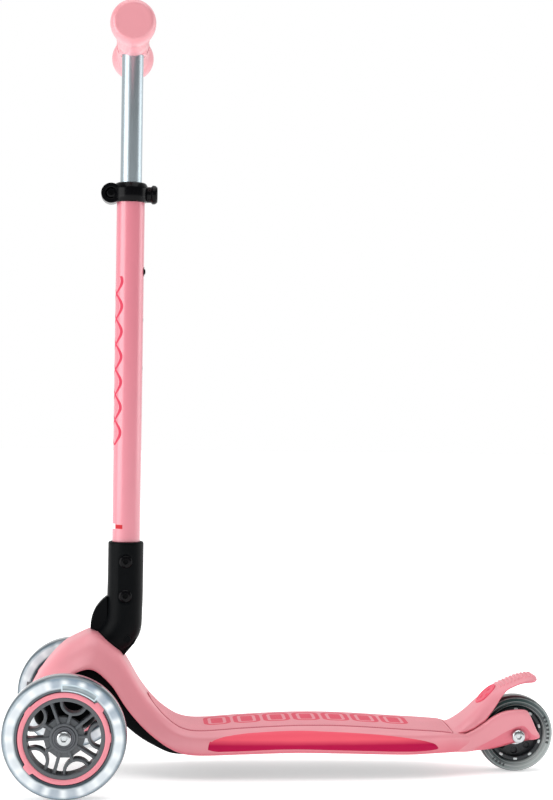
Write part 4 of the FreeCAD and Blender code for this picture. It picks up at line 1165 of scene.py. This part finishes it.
@dataclass
class LitWheel:
    """A front wheel: glowing tyre, pink ring with tabs, and a hub of ribs and wine-glass spokes."""

    side: Side
    half: float = 12.0
    ring_out: float = 44.35
    ring_in: float = 39.5
    rim_in: float = 35.5
    spokes: int = 5
    bowl_radius: float = 12.4
    bowl_centre: float = 36.1
    bar: float = 3.4
    tabs: tuple = (42.0, 221.0)

    @property
    def centre(self) -> tuple[float, float, float]:
        """Middle of the wheel."""
        return (FRONT_X, self.side.value * TRACK_HALF, FRONT_R)

    def place(self, rows: Array) -> Array:
        """Moves rows drawn about the origin to the wheel's centre."""
        return rows + np.array(self.centre)

    def ring_rows(self) -> Array:
        """The ring: its outer radius grows at the two tabs and dips in small steps elsewhere."""
        angle = np.linspace(0, 360, 361)[:-1]
        outer = np.full_like(angle, self.ring_out)
        for tab in self.tabs:
            away = np.abs((angle - tab + 180) % 360 - 180)
            outer += 3.2 * (1 - soft_step(away, 5.5, 7.5))
        for dip in (1.0, 142.0):
            away = np.abs((angle - dip + 180) % 360 - 180)
            outer += 0.9 * (1 - soft_step(away, 5.0, 6.5))
        half = 11.9
        loop = filleted([(0, -half), (1, -half), (1, half), (0, half)], 0.9, closed=True)
        share = np.clip(loop[:, :1] * 1.0, 0, 1)
        reach = self.ring_in * (1 - share) + outer[None] * share
        turn = np.radians(angle)[None]
        return np.stack([reach * np.cos(turn), np.broadcast_to(loop[:, 1:], reach.shape),
                         reach * np.sin(turn)], -1)

    def bar_rows(self, angle: float, start: float, end: float, depth: float) -> Array:
        """A straight bar along a radius with a rounded-box section."""
        turn = math.radians(angle)
        out = np.array([math.cos(turn), 0, math.sin(turn)])
        reach = np.linspace(start, end, 12)
        flare = (1 + 0.5 * np.clip((start + 2.5 - reach) / 2.5, 0, 1)
                 + 0.5 * np.clip((reach - end + 3) / 3, 0, 1))
        section = oval(self.bar / 2 * flare, np.full_like(reach, depth), 5.0, 32)
        across = np.array([-out[2], 0, out[0]])
        return (reach[:, None, None] * out + section[..., :1] * across
                + section[..., 1:] * np.array([0, 1.0, 0]))

    def bowl_rows(self, angle: float, depth: float) -> Array:
        """A wine-glass bowl: a band bent on an arc that opens onto the rim."""
        turn = math.radians(angle)
        out = np.array([math.cos(turn), 0, math.sin(turn)])
        across = np.array([-out[2], 0, out[0]])
        sweep = np.linspace(math.radians(94), math.radians(266), 40)
        path = self.bowl_centre * out + self.bowl_radius * (
            np.cos(sweep)[:, None] * out + np.sin(sweep)[:, None] * across)
        return swept(path, oval(self.bar / 2, depth, 5.0, 32))

    def hub(self) -> Skin:
        """The hub: rim, boss, a recessed disc and ten spokes."""
        hub = Skin("hub_" + self.side.name.lower())
        rim = filleted([(self.rim_in, -10.8), (self.ring_in + 0.2, -10.8), (self.ring_in + 0.2, 10.8),
                        (self.rim_in, 10.8)], 0.8, closed=True)
        boss = filleted([(11.0, -8.6), (14.0, -8.6), (14.0, 8.6), (11.0, 8.6)], 1.0, closed=True)
        disc = filleted([(13.0, -5.2), (20.5, -4.6), (20.5, 4.6), (13.0, 5.2)], 1.0, closed=True)
        for loop, steps in ((rim, 96), (boss, 60), (disc, 10)):
            hub.revolve(np.concatenate([loop, loop[:1]]), self.centre, (0, 1, 0), steps)
        for i in range(self.spokes):
            straight = -105 + 360 * i / self.spokes
            glass = straight + 180 / self.spokes
            hub.grid(self.place(self.bar_rows(straight, 13.0, self.rim_in + 0.8, 7.0)), caps=True)
            bar = self.bar_rows(glass, 13.0, self.bowl_centre - self.bowl_radius + 0.8, 7.4)
            hub.grid(self.place(bar), caps=True)
            hub.grid(self.place(self.bowl_rows(glass, 7.4)), caps=True)
        return hub

    def bearings(self) -> Skin:
        """Both bearings: a steel outer and inner race with a dark shield between, as one stepped ring."""
        skin = Skin("bearings_" + self.side.name.lower())
        loop = filleted([(4.1, 2.9), (11.0, 2.9), (11.0, 9.7), (9.4, 9.7), (9.2, 9.2), (6.6, 9.2), (6.4, 9.7),
                         (4.1, 9.7)], 0.25, closed=True)
        for sign in (-1, 1):
            skin.revolve(np.concatenate([loop, loop[:1]]), self.centre, (0, sign, 0), 60)
        return skin

    def light(self) -> Skin:
        """The light module: a curved box that shows through the tyre's side."""
        angle = np.radians(np.linspace(51, 94, 44))
        loop = filleted([(45.2, -12.05), (52.0, -12.05), (52.0, 12.05), (45.2, 12.05)], 0.8, closed=True)
        rows = np.stack([loop[None, :, 0] * np.cos(angle)[:, None],
                         np.broadcast_to(loop[None, :, 1], (len(angle), len(loop))),
                         loop[None, :, 0] * np.sin(angle)[:, None]], -1)
        return Skin("light_module_" + self.side.name.lower()).grid(self.place(rows), caps=True)

    def make(self, finishes: Finishes) -> None:
        """Makes the wheel."""
        name = self.side.name.lower()
        body = "wheel_" + name
        loop = tyre_loop(self.ring_out - 0.2, FRONT_R, self.half)
        tyre = Skin("tyre_" + name).revolve(loop, self.centre, steps=144)
        fitted(tyre.mesh(60), body, finishes.lit_tyre, (body + "_tyre",))
        fitted(self.light().mesh(), body, finishes.lit_tyre, (body + "_light",))
        ring = Skin("ring_" + name).grid(self.place(self.ring_rows()), along=True)
        fitted(ring.mesh(), body, finishes.ring, (body + "_ring",))
        fitted(self.hub().mesh(40), body, finishes.grey, (body + "_hub",))
        fitted(self.bearings().mesh(), body, finishes.dark_steel, (body + "_bearings",))


@dataclass
class RearWheel:
    """The rear wheel: smoky tyre on a dark hub whose web has round pockets and whose rim has pale dashes of
    painted light.
    """

    half: float = 12.0
    rim_in: float = 24.0
    rim_out: float = 28.0
    rim_half: float = 10.6
    holes: int = 8
    hole_radius: float = 3.1
    hole_at: float = 18.7
    web_half: float = 3.4
    dashes: int = 10
    dash_at: float = 26.0
    dash_reach: float = 0.075
    bolt_half: float = 24.3

    def sector_rows(self, middle: float) -> Array:
        """One web sector: a square in radius and angle, pierced by a round hole.

        The loop across goes from the square's front edge to the hole, through it and back.
        """
        a = np.linspace(0, FULL_TURN, 49)[:-1]
        square = (np.stack([np.cos(a), np.sin(a)], -1)
                  / np.maximum(np.abs(np.cos(a)), np.abs(np.sin(a)))[:, None])
        half_turn = math.radians(180 / self.holes - 0.05)
        reach = self.hole_at + 5.8 * square[:, 0]
        turn = half_turn * square[:, 1]
        outer = np.stack([reach * np.cos(turn), reach * np.sin(turn)], -1)
        hole = np.stack([self.hole_at + self.hole_radius * np.cos(a), self.hole_radius * np.sin(a)], -1)
        share = np.array([0, 0.5, 0.9, 1.0, 1.0, 0.9, 0.5, 0])
        y = np.array([1, 1, 1, 0.85, -0.85, -1, -1, -1]) * self.web_half
        flat = outer[None] * (1 - share)[:, None, None] + hole[None] * share[:, None, None]
        c, s = math.cos(middle), math.sin(middle)
        return np.stack([flat[..., 0] * c - flat[..., 1] * s + REAR_X,
                         np.broadcast_to(y[:, None], flat.shape[:2]),
                         flat[..., 0] * s + flat[..., 1] * c + REAR_R], -1)

    def dash_rows(self, middle: float, side: Side) -> Array:
        """A short raised bar along the rim: an oval carried round a small arc and slimmed at its ends."""
        share = np.linspace(-1, 1, 9)
        angle = (middle + self.dash_reach * share)[:, None]
        section = oval(1.3 * (1 - 0.5 * share ** 6), 0.7 * (1 - 0.5 * share ** 6), 2.6, 20)
        reach = self.dash_at + section[..., 0]
        offset = np.broadcast_to(side.value * (self.rim_half + section[..., 1]), reach.shape)
        return np.stack([REAR_X + reach * np.cos(angle), offset, REAR_R + reach * np.sin(angle)], -1)

    def make(self, finishes: Finishes) -> None:
        """Makes the wheel."""
        centre = (REAR_X, 0, REAR_R)
        tyre = Skin("tyre_rear").revolve(tyre_loop(self.rim_out - 0.2, REAR_R, self.half), centre, steps=120)
        fitted(tyre.mesh(60), "wheel_rear", finishes.smoky_tyre, ("wheel_rear_tyre",))
        hub = Skin("hub_rear")
        rim_half = self.rim_half
        rim = filleted([(self.rim_in, -rim_half), (self.rim_out, -rim_half), (self.rim_out, rim_half),
                        (self.rim_in, rim_half)], 0.8, closed=True)
        boss = filleted([(10.9, -9.4), (13.6, -9.4), (13.6, 9.4), (10.9, 9.4)], 0.9, closed=True)
        for loop in (rim, boss):
            hub.revolve(np.concatenate([loop, loop[:1]]), centre)
        for i in range(self.holes):
            angle = FULL_TURN * i / self.holes
            hub.grid(self.sector_rows(angle), along=True)
            spot = (REAR_X + self.hole_at * math.cos(angle), 0, REAR_R + self.hole_at * math.sin(angle))
            edge = self.hole_radius + 0.4
            floor = filleted([(0.01, -1.2), (edge, -1.2), (edge, 1.2), (0.01, 1.2)], 0.2)
            hub.revolve(floor, spot, steps=24)
        fitted(hub.mesh(), "wheel_rear", finishes.dark_hub, ("wheel_rear_hub",))
        # painted light: pale raised dashes stand in for light seen through the rim's slots
        dashes = Skin("rim_dashes_rear")
        for i in range(self.dashes):
            for side in Side:
                dashes.grid(self.dash_rows(FULL_TURN * (i + 0.5) / self.dashes, side), caps=True)
        fitted(dashes.mesh(), "wheel_rear", finishes.slot_light, ())
        end = self.bolt_half
        bolts = Skin("axle_bolt_rear").revolve([(0.01, -end), (4, -end), (4, end), (0.01, end)],
                                               centre, steps=32)
        for side in Side:
            socket_head(bolts, (REAR_X, side.value * end, REAR_R), (0, side.value, 0), 7.0, 3.4, 2.4)
        fitted(bolts.mesh(30), "deck", finishes.bolt, ("rear_axle_bolt", "rear_axle_nut"))


# ---- stem ----
@dataclass
class StemFoot:
    """The black elbow that holds the tube, its four socket screws and the release paddle."""

    sleeve_top: float = 238.5
    sleeve_radius: float = 18.3
    screw_heights: tuple = (183.1, 218.5)
    screw_radius: float = 6.8
    recess_half: float = 7.9
    recess_depth: float = 0.9
    paddle_centre: tuple = (-165.0, 151.0)
    paddle_radius: float = 37.0
    paddle_half: float = 7.0
    # front x, front z, rear x, rear z, half-width
    bends: tuple = (
        (-185.0, 205.0, -148.5, 205.0, 18.2), (-185.4, 184.0, -148.5, 181.5, 18.2),
        (-185.6, 171.0, -148.9, 166.0, 18.3), (-186.4, 161.0, -149.4, 151.5, 18.4),
        (-188.8, 155.2, -152.0, 141.2, 18.5), (-192.0, 150.4, -158.6, 131.0, 18.5),
        (-195.6, 146.6, -168.0, 123.6, 18.4),
    )

    def rows(self) -> Array:
        """Ovals between the front and rear lines, from inside the sleeve's mouth down to the sloping seat."""
        lip = [(14.55, 233.0), (14.7, 237.2), (15.4, 238.2), (16.4, self.sleeve_top), (17.5, 238.1),
               (18.1, 237.2)]
        top = [(STEM_X - r, z, STEM_X + r, z, r) for r, z in lip]
        run = [(STEM_X - self.sleeve_radius, z, STEM_X + self.sleeve_radius, z, self.sleeve_radius)
               for z in np.arange(236.0, 206.0, -0.8)]
        bends = np.array(self.bends, float)
        curve = smooth_between(np.linspace(0, len(bends) - 1, 100), np.arange(len(bends)), bends)
        front_x, front_z, rear_x, rear_z, half = np.concatenate([top, run, curve]).T
        centre = np.stack([(front_x + rear_x) / 2, np.zeros_like(half), (front_z + rear_z) / 2], -1)
        across = np.stack([(front_x - rear_x) / 2, np.zeros_like(half), (front_z - rear_z) / 2], -1)
        unit = oval(1.0, 1.0, 2.0, 144)
        rows = centre[:, None] + unit[None, :, :1] * across[:, None]
        rows[..., 1] += unit[None, :, 1] * half[:, None]
        return self.recessed(rows)

    def recessed(self, rows: Array) -> Array:
        """Presses a long round-ended hollow into each side, round the two screws."""
        low, high = self.screw_heights
        along = rows[..., 2] - np.clip(rows[..., 2], low, high)
        away = np.hypot(rows[..., 0] - STEM_X, along)
        press = 1 - soft_step(away, self.recess_half - 0.9, self.recess_half + 0.5)
        flat = self.sleeve_radius - self.recess_depth - 0.6
        target = np.sign(rows[..., 1]) * np.minimum(np.abs(rows[..., 1]), flat)
        out = rows.copy()
        out[..., 1] += press * (target - rows[..., 1]) * (np.abs(rows[..., 1]) > 12)
        return out

    def make(self, finishes: Finishes) -> None:
        """Makes the elbow, the screws and the paddle."""
        foot = Skin("stem_foot").grid(self.rows(), caps=True)
        fitted(foot.mesh(50), "stem", finishes.black, ("stem_elbow",))
        screws = Skin("stem_screws")
        seat = self.sleeve_radius - self.recess_depth - 1.4
        for side in Side:
            for z in self.screw_heights:
                spot = (STEM_X, side.value * seat, z)
                socket_head(screws, spot, (0, side.value, 0), self.screw_radius, 2.6, 2.4)
        fitted(screws.mesh(30), "stem", finishes.gloss_black, ("stem_bolts",))
        turn = np.radians(np.linspace(123.8, 184.5, 28))
        arc = np.stack([self.paddle_centre[0] + self.paddle_radius * np.cos(turn),
                        self.paddle_centre[1] + self.paddle_radius * np.sin(turn)], -1)
        outline = np.concatenate([arc, [(-192.0, 147.0), (-187.0, 150.0), (-185.2, 156.0), (-185.1, 172.0)]])
        paddle = Skin("release_paddle").prism(outline, -self.paddle_half, self.paddle_half)
        tongue = filleted([(-198.2, 152.5), (-197.8, 141.0), (-193.4, 139.0), (-192.6, 152.5)], 0.8,
                          closed=True)
        paddle.prism(tongue, -self.paddle_half + 0.4, self.paddle_half - 0.4)
        fitted(bevelled(paddle.mesh(), 1.2), "release", finishes.black, ("fold_button",))


@dataclass
class StemTube:
    """The pink lower tube with its row of stop holes shown as black discs of painted shade, and the clamp
    collar.
    """

    low: float = 173.0
    high: float = 606.0
    radius: float = 14.5
    bore: float = 12.9
    collar_low: float = 588.8
    collar_high: float = 609.0
    collar_radius: float = 16.5
    boss: tuple = (-187.0, 597.6)
    boss_radius: float = 10.4
    plug_face: float = -139.2
    stops: tuple = (SNAP_Z - 50.0, SNAP_Z - 100.0)

    def make(self, finishes: Finishes) -> None:
        """Makes the tube, the collar and the small parts on them."""
        loop = filleted([(self.bore, self.low), (self.radius, self.low), (self.radius, self.high),
                         (self.bore, self.high), (self.bore, self.low)], 0.4)
        tube = Skin("lower_tube").revolve(loop, (STEM_X, 0, 0), (0, 0, 1), 96)
        fitted(tube.mesh(), "stem", finishes.tube, ("outer_tube",))
        # painted shade: black discs stand in for the shaded stop holes, and a black ring for the shaded gap
        # round the snap button
        hole_shade_discs = Skin("stop_hole_shade_discs")
        shade_disc = filleted([(0.01, 14.3), (2.3, 14.3), (2.5, 14.46), (3.0, 14.42), (3.2, 13.9)], 0.12)
        for z in self.stops:
            hole_shade_discs.revolve(shade_disc, (STEM_X, 0, z), (1, 0, 0), 32)
        ring = filleted([(4.1, 14.0), (4.1, 14.85), (4.9, 14.85), (5.0, 14.0)], 0.12)
        hole_shade_discs.revolve(ring, (STEM_X, 0, SNAP_Z), (1, 0, 0), 32)
        fitted(hole_shade_discs.mesh(), "stem", finishes.gloss_black)
        self.make_collar(finishes)

    def make_collar(self, finishes: Finishes) -> None:
        """The collar: a band, a cross boss with its screw at the front and a plug at the rear."""
        collar = Skin("clamp_ring")
        crown = self.collar_radius + 2.0
        low, high, inner = self.collar_low, self.collar_high, self.radius + 0.05
        band = filleted([(inner, low), (self.collar_radius, low), (crown, low + 5.0), (crown, high - 6.0),
                         (self.collar_radius - 1.0, high), (11.2, high), (11.2, 606.2), (inner, 606.2),
                         (inner, low)], 2.2)
        collar.revolve(band, (STEM_X, 0, 0), (0, 0, 1), 96)
        x0, z0 = self.boss
        barrel = filleted([(5.6, 7.6), (5.9, 11.0), (self.boss_radius, 11.0), (self.boss_radius, -11.0),
                           (5.9, -11.0), (5.6, -7.6), (0.01, -7.6)], 0.8)
        barrel = np.concatenate([[(0.01, 7.6)], barrel])
        collar.revolve(barrel, (x0, 0, z0), (0, 1, 0), 72)
        x = np.linspace(x0 + 2.0, STEM_X - 13.0, 14)
        web = oval(np.linspace(9.6, 9.0, 14), np.linspace(9.4, 8.6, 14), 4.0, 40)
        rows = np.stack([np.broadcast_to(x[:, None], web.shape[:2]), web[..., 0], z0 + web[..., 1]], -1)
        collar.grid(rows, caps=True)
        reach = self.plug_face - STEM_X
        plug = filleted([(0.01, 12.0), (8.2, 12.0), (8.2, reach - 6.6), (9.9, reach - 5.4),
                         (9.6, reach - 2.2), (7.8, reach - 0.2), (6.3, reach), (6.0, reach - 1.6),
                         (0.01, reach - 1.4)], 0.9)
        collar.revolve(plug, (STEM_X, 0, 597.2), (1, 0, 0), 60)
        fitted(collar.mesh(40), "stem", finishes.gloss_black,
               ("clamp_collar", "guide_bush", "clamp_plug"))
        screw = Skin("clamp_screw")
        for side in Side:
            socket_head(screw, (x0, side.value * 7.2, z0), (0, side.value, 0), 5.5, 2.6, 2.0)
        fitted(screw.mesh(30), "stem", finishes.gloss_black, ("clamp_bolt",))


# ---- handlebar ----
@dataclass
class Handlebar:
    """The silver upper tube, the pink hub on it and the two grips with their ball ends."""

    height: float = 755.0
    tube_radius: float = 11.1
    grip_in: float = 20.3
    grip_radius: float = 17.0
    ball_radius: float = 22.5
    end: float = 109.0
    flat_radius: float = 17.6
    grooves: int = 9

    def make(self, finishes: Finishes) -> None:
        """Makes the tube, the hub, the grips and the sprung button."""
        low, high, bore = 470, 743.8, 9.6
        loop = filleted([(bore, low), (self.tube_radius, low), (self.tube_radius, high), (bore, high),
                         (bore, low)], 0.3)
        tube = Skin("upper_tube").revolve(loop, (STEM_X, 0, 0), (0, 0, 1), 96)
        fitted(tube.mesh(), "handlebar", finishes.silver, ("inner_tube",))
        self.make_hub(finishes)
        for side in Side:
            self.make_grip(side, finishes)
        button = filleted([(0.01, 3.2), (4.0, 3.2), (4.0, 9.0), (3.0, 9.4), (3.0, 14.9), (2.4, 15.9),
                           (0.01, 16.2)], 0.9)
        snap = Skin("height_button").revolve(button, (STEM_X, 0, SNAP_Z), (1, 0, 0), 40)
        fitted(snap.mesh(), "snap", finishes.black, ("snap_button",))

    def make_hub(self, finishes: Finishes) -> None:
        """The hub: a short cross barrel and a neck that slims onto the tube."""
        hub = Skin("bar_hub")
        barrel = filleted([(11.05, -20.0), (16.4, -20.0), (16.4, 20.0), (11.05, 20.0), (11.05, -20.0)], 1.0)
        hub.revolve(barrel, (STEM_X, 0, self.height), (0, 1, 0), 96)
        neck = filleted([(11.15, 741.0), (13.6, 741.0), (14.6, 744.0), (14.6, 750.0), (11.15, 750.0),
                         (11.15, 741.0)], 0.8)
        hub.revolve(neck, (STEM_X, 0, 0), (0, 0, 1), 96)
        fitted(hub.mesh(45), "handlebar", finishes.grip, ("handle_hub",))

    def make_grip(self, side: Side, finishes: Finishes) -> None:
        """One grip: a barrel with fine grooves and a ball with a flat face."""
        barrel = [(self.grip_radius, y) for y in (26.5, 30.0)]
        pitch = 4.6
        for i in range(self.grooves):
            y = 31.0 + i * pitch
            groove = self.grip_radius - 0.55
            barrel += [(self.grip_radius, y), (groove, y + 0.5), (groove, y + 1.0),
                       (self.grip_radius, y + 1.5)]
        profile = [(11.05, self.grip_in), (self.grip_radius, self.grip_in)] + barrel
        ball = rounded_run(np.array([(self.grip_radius, 74.0), (17.4, 79.0), (20.2, 84.0), (22.3, 90.0),
                                     (self.ball_radius + 0.15, 96.5), (22.2, 103.0), (20.4, 107.0),
                                     (self.flat_radius + 0.8, 108.6), (self.flat_radius - 0.6, 109.0),
                                     (14.0, 108.8), (8.0, 108.8)]), 6)
        profile = np.concatenate([profile, ball, [(0.01, 108.8)]])
        grip = Skin("grip_" + side.name.lower() + "_soft")
        grip.revolve(profile, (STEM_X, 0, self.height), (0, side.value, 0), 96)
        grip.faces.append(list(range(95, -1, -1)))
        fitted(grip.mesh(32), "handlebar", finishes.grip, ("grip_" + side.name.lower(),))


# ---- nose button ----
@dataclass
class LockButton:
    """The round steering-lock button at the front of the nose."""

    height: float = 86.0
    radius: float = 6.4
    face: float = -266.6

    def make(self, finishes: Finishes) -> None:
        """Makes the button: a dished disc with a rounded rim."""
        reach = -self.face
        profile = filleted([(0.01, 259.5), (self.radius, 259.5), (self.radius, reach - 0.6), (6.6, reach),
                            (5.4, reach - 0.4), (0.01, reach - 1.4)], 0.7)
        button = Skin("lock_push").revolve(profile, (0, 0, self.height), (-1, 0, 0), 60)
        fitted(button.mesh(), "steering_lock", finishes.grey, ("steering_lock_button",))


# ---- kept model parts ----
def dress_kept_nodes(finishes: Finishes) -> None:
    """Gives every model node that still shows a metal or plastic finish of its own."""
    special = {"fold_base": finishes.black, "fold_pin": finishes.black, "truck_bush": finishes.grip}
    for name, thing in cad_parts.items():
        if thing.hide_render:
            continue
        finish = special.get(name, finishes.bolt)
        thing.data.materials.clear()
        thing.data.materials.append(finish)
        LOG.info("%s: kept from the model", name)


# ---- studio ----
@dataclass
class Studio:
    """Plain pale floor, soft lights and the camera."""

    eye: tuple = (-165.45, -1845.57, 400.32)
    yaw: float = 0.0827
    pitch: float = 0.0073
    roll: float = 0.0149
    lens: float = 79.92
    floor_half: float = 9000.0
    front_light: float = 0.25
    back_light: float = 0.9

    def make_camera(self) -> None:
        """Puts the camera at its eye, turned by its yaw, pitch and roll."""
        ahead = Vector((math.sin(self.yaw) * math.cos(self.pitch), math.cos(self.yaw) * math.cos(self.pitch),
                        -math.sin(self.pitch)))
        level = Vector((math.cos(self.yaw), -math.sin(self.yaw), 0))
        up = level.cross(ahead)
        right = level * math.cos(self.roll) + up * math.sin(self.roll)
        top = up * math.cos(self.roll) - level * math.sin(self.roll)
        data = bpy.data.cameras.new("studio_camera")
        data.lens = self.lens
        data.sensor_width = 36.0
        data.sensor_fit = "AUTO"
        data.clip_start = 0.05
        data.clip_end = 60.0
        camera = bpy.data.objects.new("studio_camera", data)
        turn = Matrix((right, top, -ahead)).transposed().to_4x4()
        camera.matrix_world = Matrix.Translation(Vector(self.eye) * MM) @ turn
        bpy.context.scene.collection.objects.link(camera)
        bpy.context.scene.camera = camera

    def make_floor(self) -> None:
        """A wide pale floor with a faint mottle, which glows more with distance so that it stays white."""
        half = self.floor_half
        near = [(-half, -half, 0), (half, -half, 0)]
        far = [(-half, half, 0), (half, half, 0)]
        floor = Skin("studio_floor").grid(np.array([far, near], float), around=False).mesh()
        paint = Paint("pale_floor")
        cloud = paint.noise(400.0, 3.0)
        base = paint.mix(cloud, (0.93, 0.93, 0.93, 1), (0.96, 0.96, 0.96, 1))
        x, y, _ = paint.axes()
        distant = (x * x + y * y).math("SQRT").above(1500.0, 1800.0)
        glow = paint.mix(distant, (0.5, 0.5, 0.5, 1), (0.85, 0.85, 0.85, 1))
        paint.set(Base_Color=base, Roughness=0.9, Normal=paint.bump(cloud, 0.1), Emission_Color=glow,
                  Emission_Strength=1.0)
        floor.data.materials.append(paint.material)

    def add_light(self, name: str, place: tuple, aim: tuple, size: float, power: float) -> None:
        """A square soft light at a place in metres, facing another."""
        data = bpy.data.lights.new(name, "AREA")
        data.shape = "SQUARE"
        data.size = size
        data.energy = power
        lamp = bpy.data.objects.new(name, data)
        lamp.location = place
        lamp.rotation_mode = "QUATERNION"
        lamp.rotation_quaternion = (Vector(aim) - Vector(place)).to_track_quat("-Z", "Y")
        bpy.context.scene.collection.objects.link(lamp)

    def make_world(self) -> None:
        """A white backdrop that lights from behind more than from the front."""
        world = bpy.data.worlds.new("white_room")
        world.use_nodes = True
        room = Graph(world.node_tree)
        direction = room.node("ShaderNodeTexCoord", {}).outputs["Generated"]
        depth = Value(room, room.node("ShaderNodeSeparateXYZ", {}, (direction,)).outputs["Y"])
        seen = Value(room, room.node("ShaderNodeLightPath", {}).outputs["Is Camera Ray"])
        lighting = depth.above(0.25, 0.9) * (self.back_light - self.front_light) + self.front_light
        strength = seen + (1.0 - seen) * lighting
        shade = room.node("ShaderNodeBackground", {}, {"Color": (1, 1, 1, 1), "Strength": strength})
        room.node("ShaderNodeOutputWorld", {}, {"Surface": shade.outputs[0]})
        bpy.context.scene.world = world

    def make_lights(self) -> None:
        """A tall soft light on the left, a weaker one on the right and a broad one above."""
        self.add_light("left", (-2.1, -0.95, 0.75), (-0.1, 0, 0.4), 1.7, 30.0)
        self.add_light("right", (2.1, 0.35, 0.8), (0.0, 0, 0.4), 1.4, 12.0)
        self.add_light("above", (0.0, -0.3, 2.6), (0, 0, 0.0), 2.6, 44.0)
        self.make_world()
        bpy.context.scene.view_settings.view_transform = "Standard"

    def make(self) -> None:
        """Makes the camera, the floor and the lights."""
        self.make_camera()
        self.make_floor()
        self.make_lights()


def main() -> None:
    """Builds the studio and every sub-assembly in order."""
    logging.basicConfig(level=logging.INFO, format="%(name)s: %(message)s")
    Studio().make()
    finishes = Finishes()
    Deck().make(finishes)
    Brake().make(finishes)
    Truck().make(finishes)
    for side in Side:
        LitWheel(side).make(finishes)
    RearWheel().make(finishes)
    StemFoot().make(finishes)
    StemTube().make(finishes)
    Handlebar().make(finishes)
    LockButton().make(finishes)
    dress_kept_nodes(finishes)


if __name__ == "__main__":
    main()
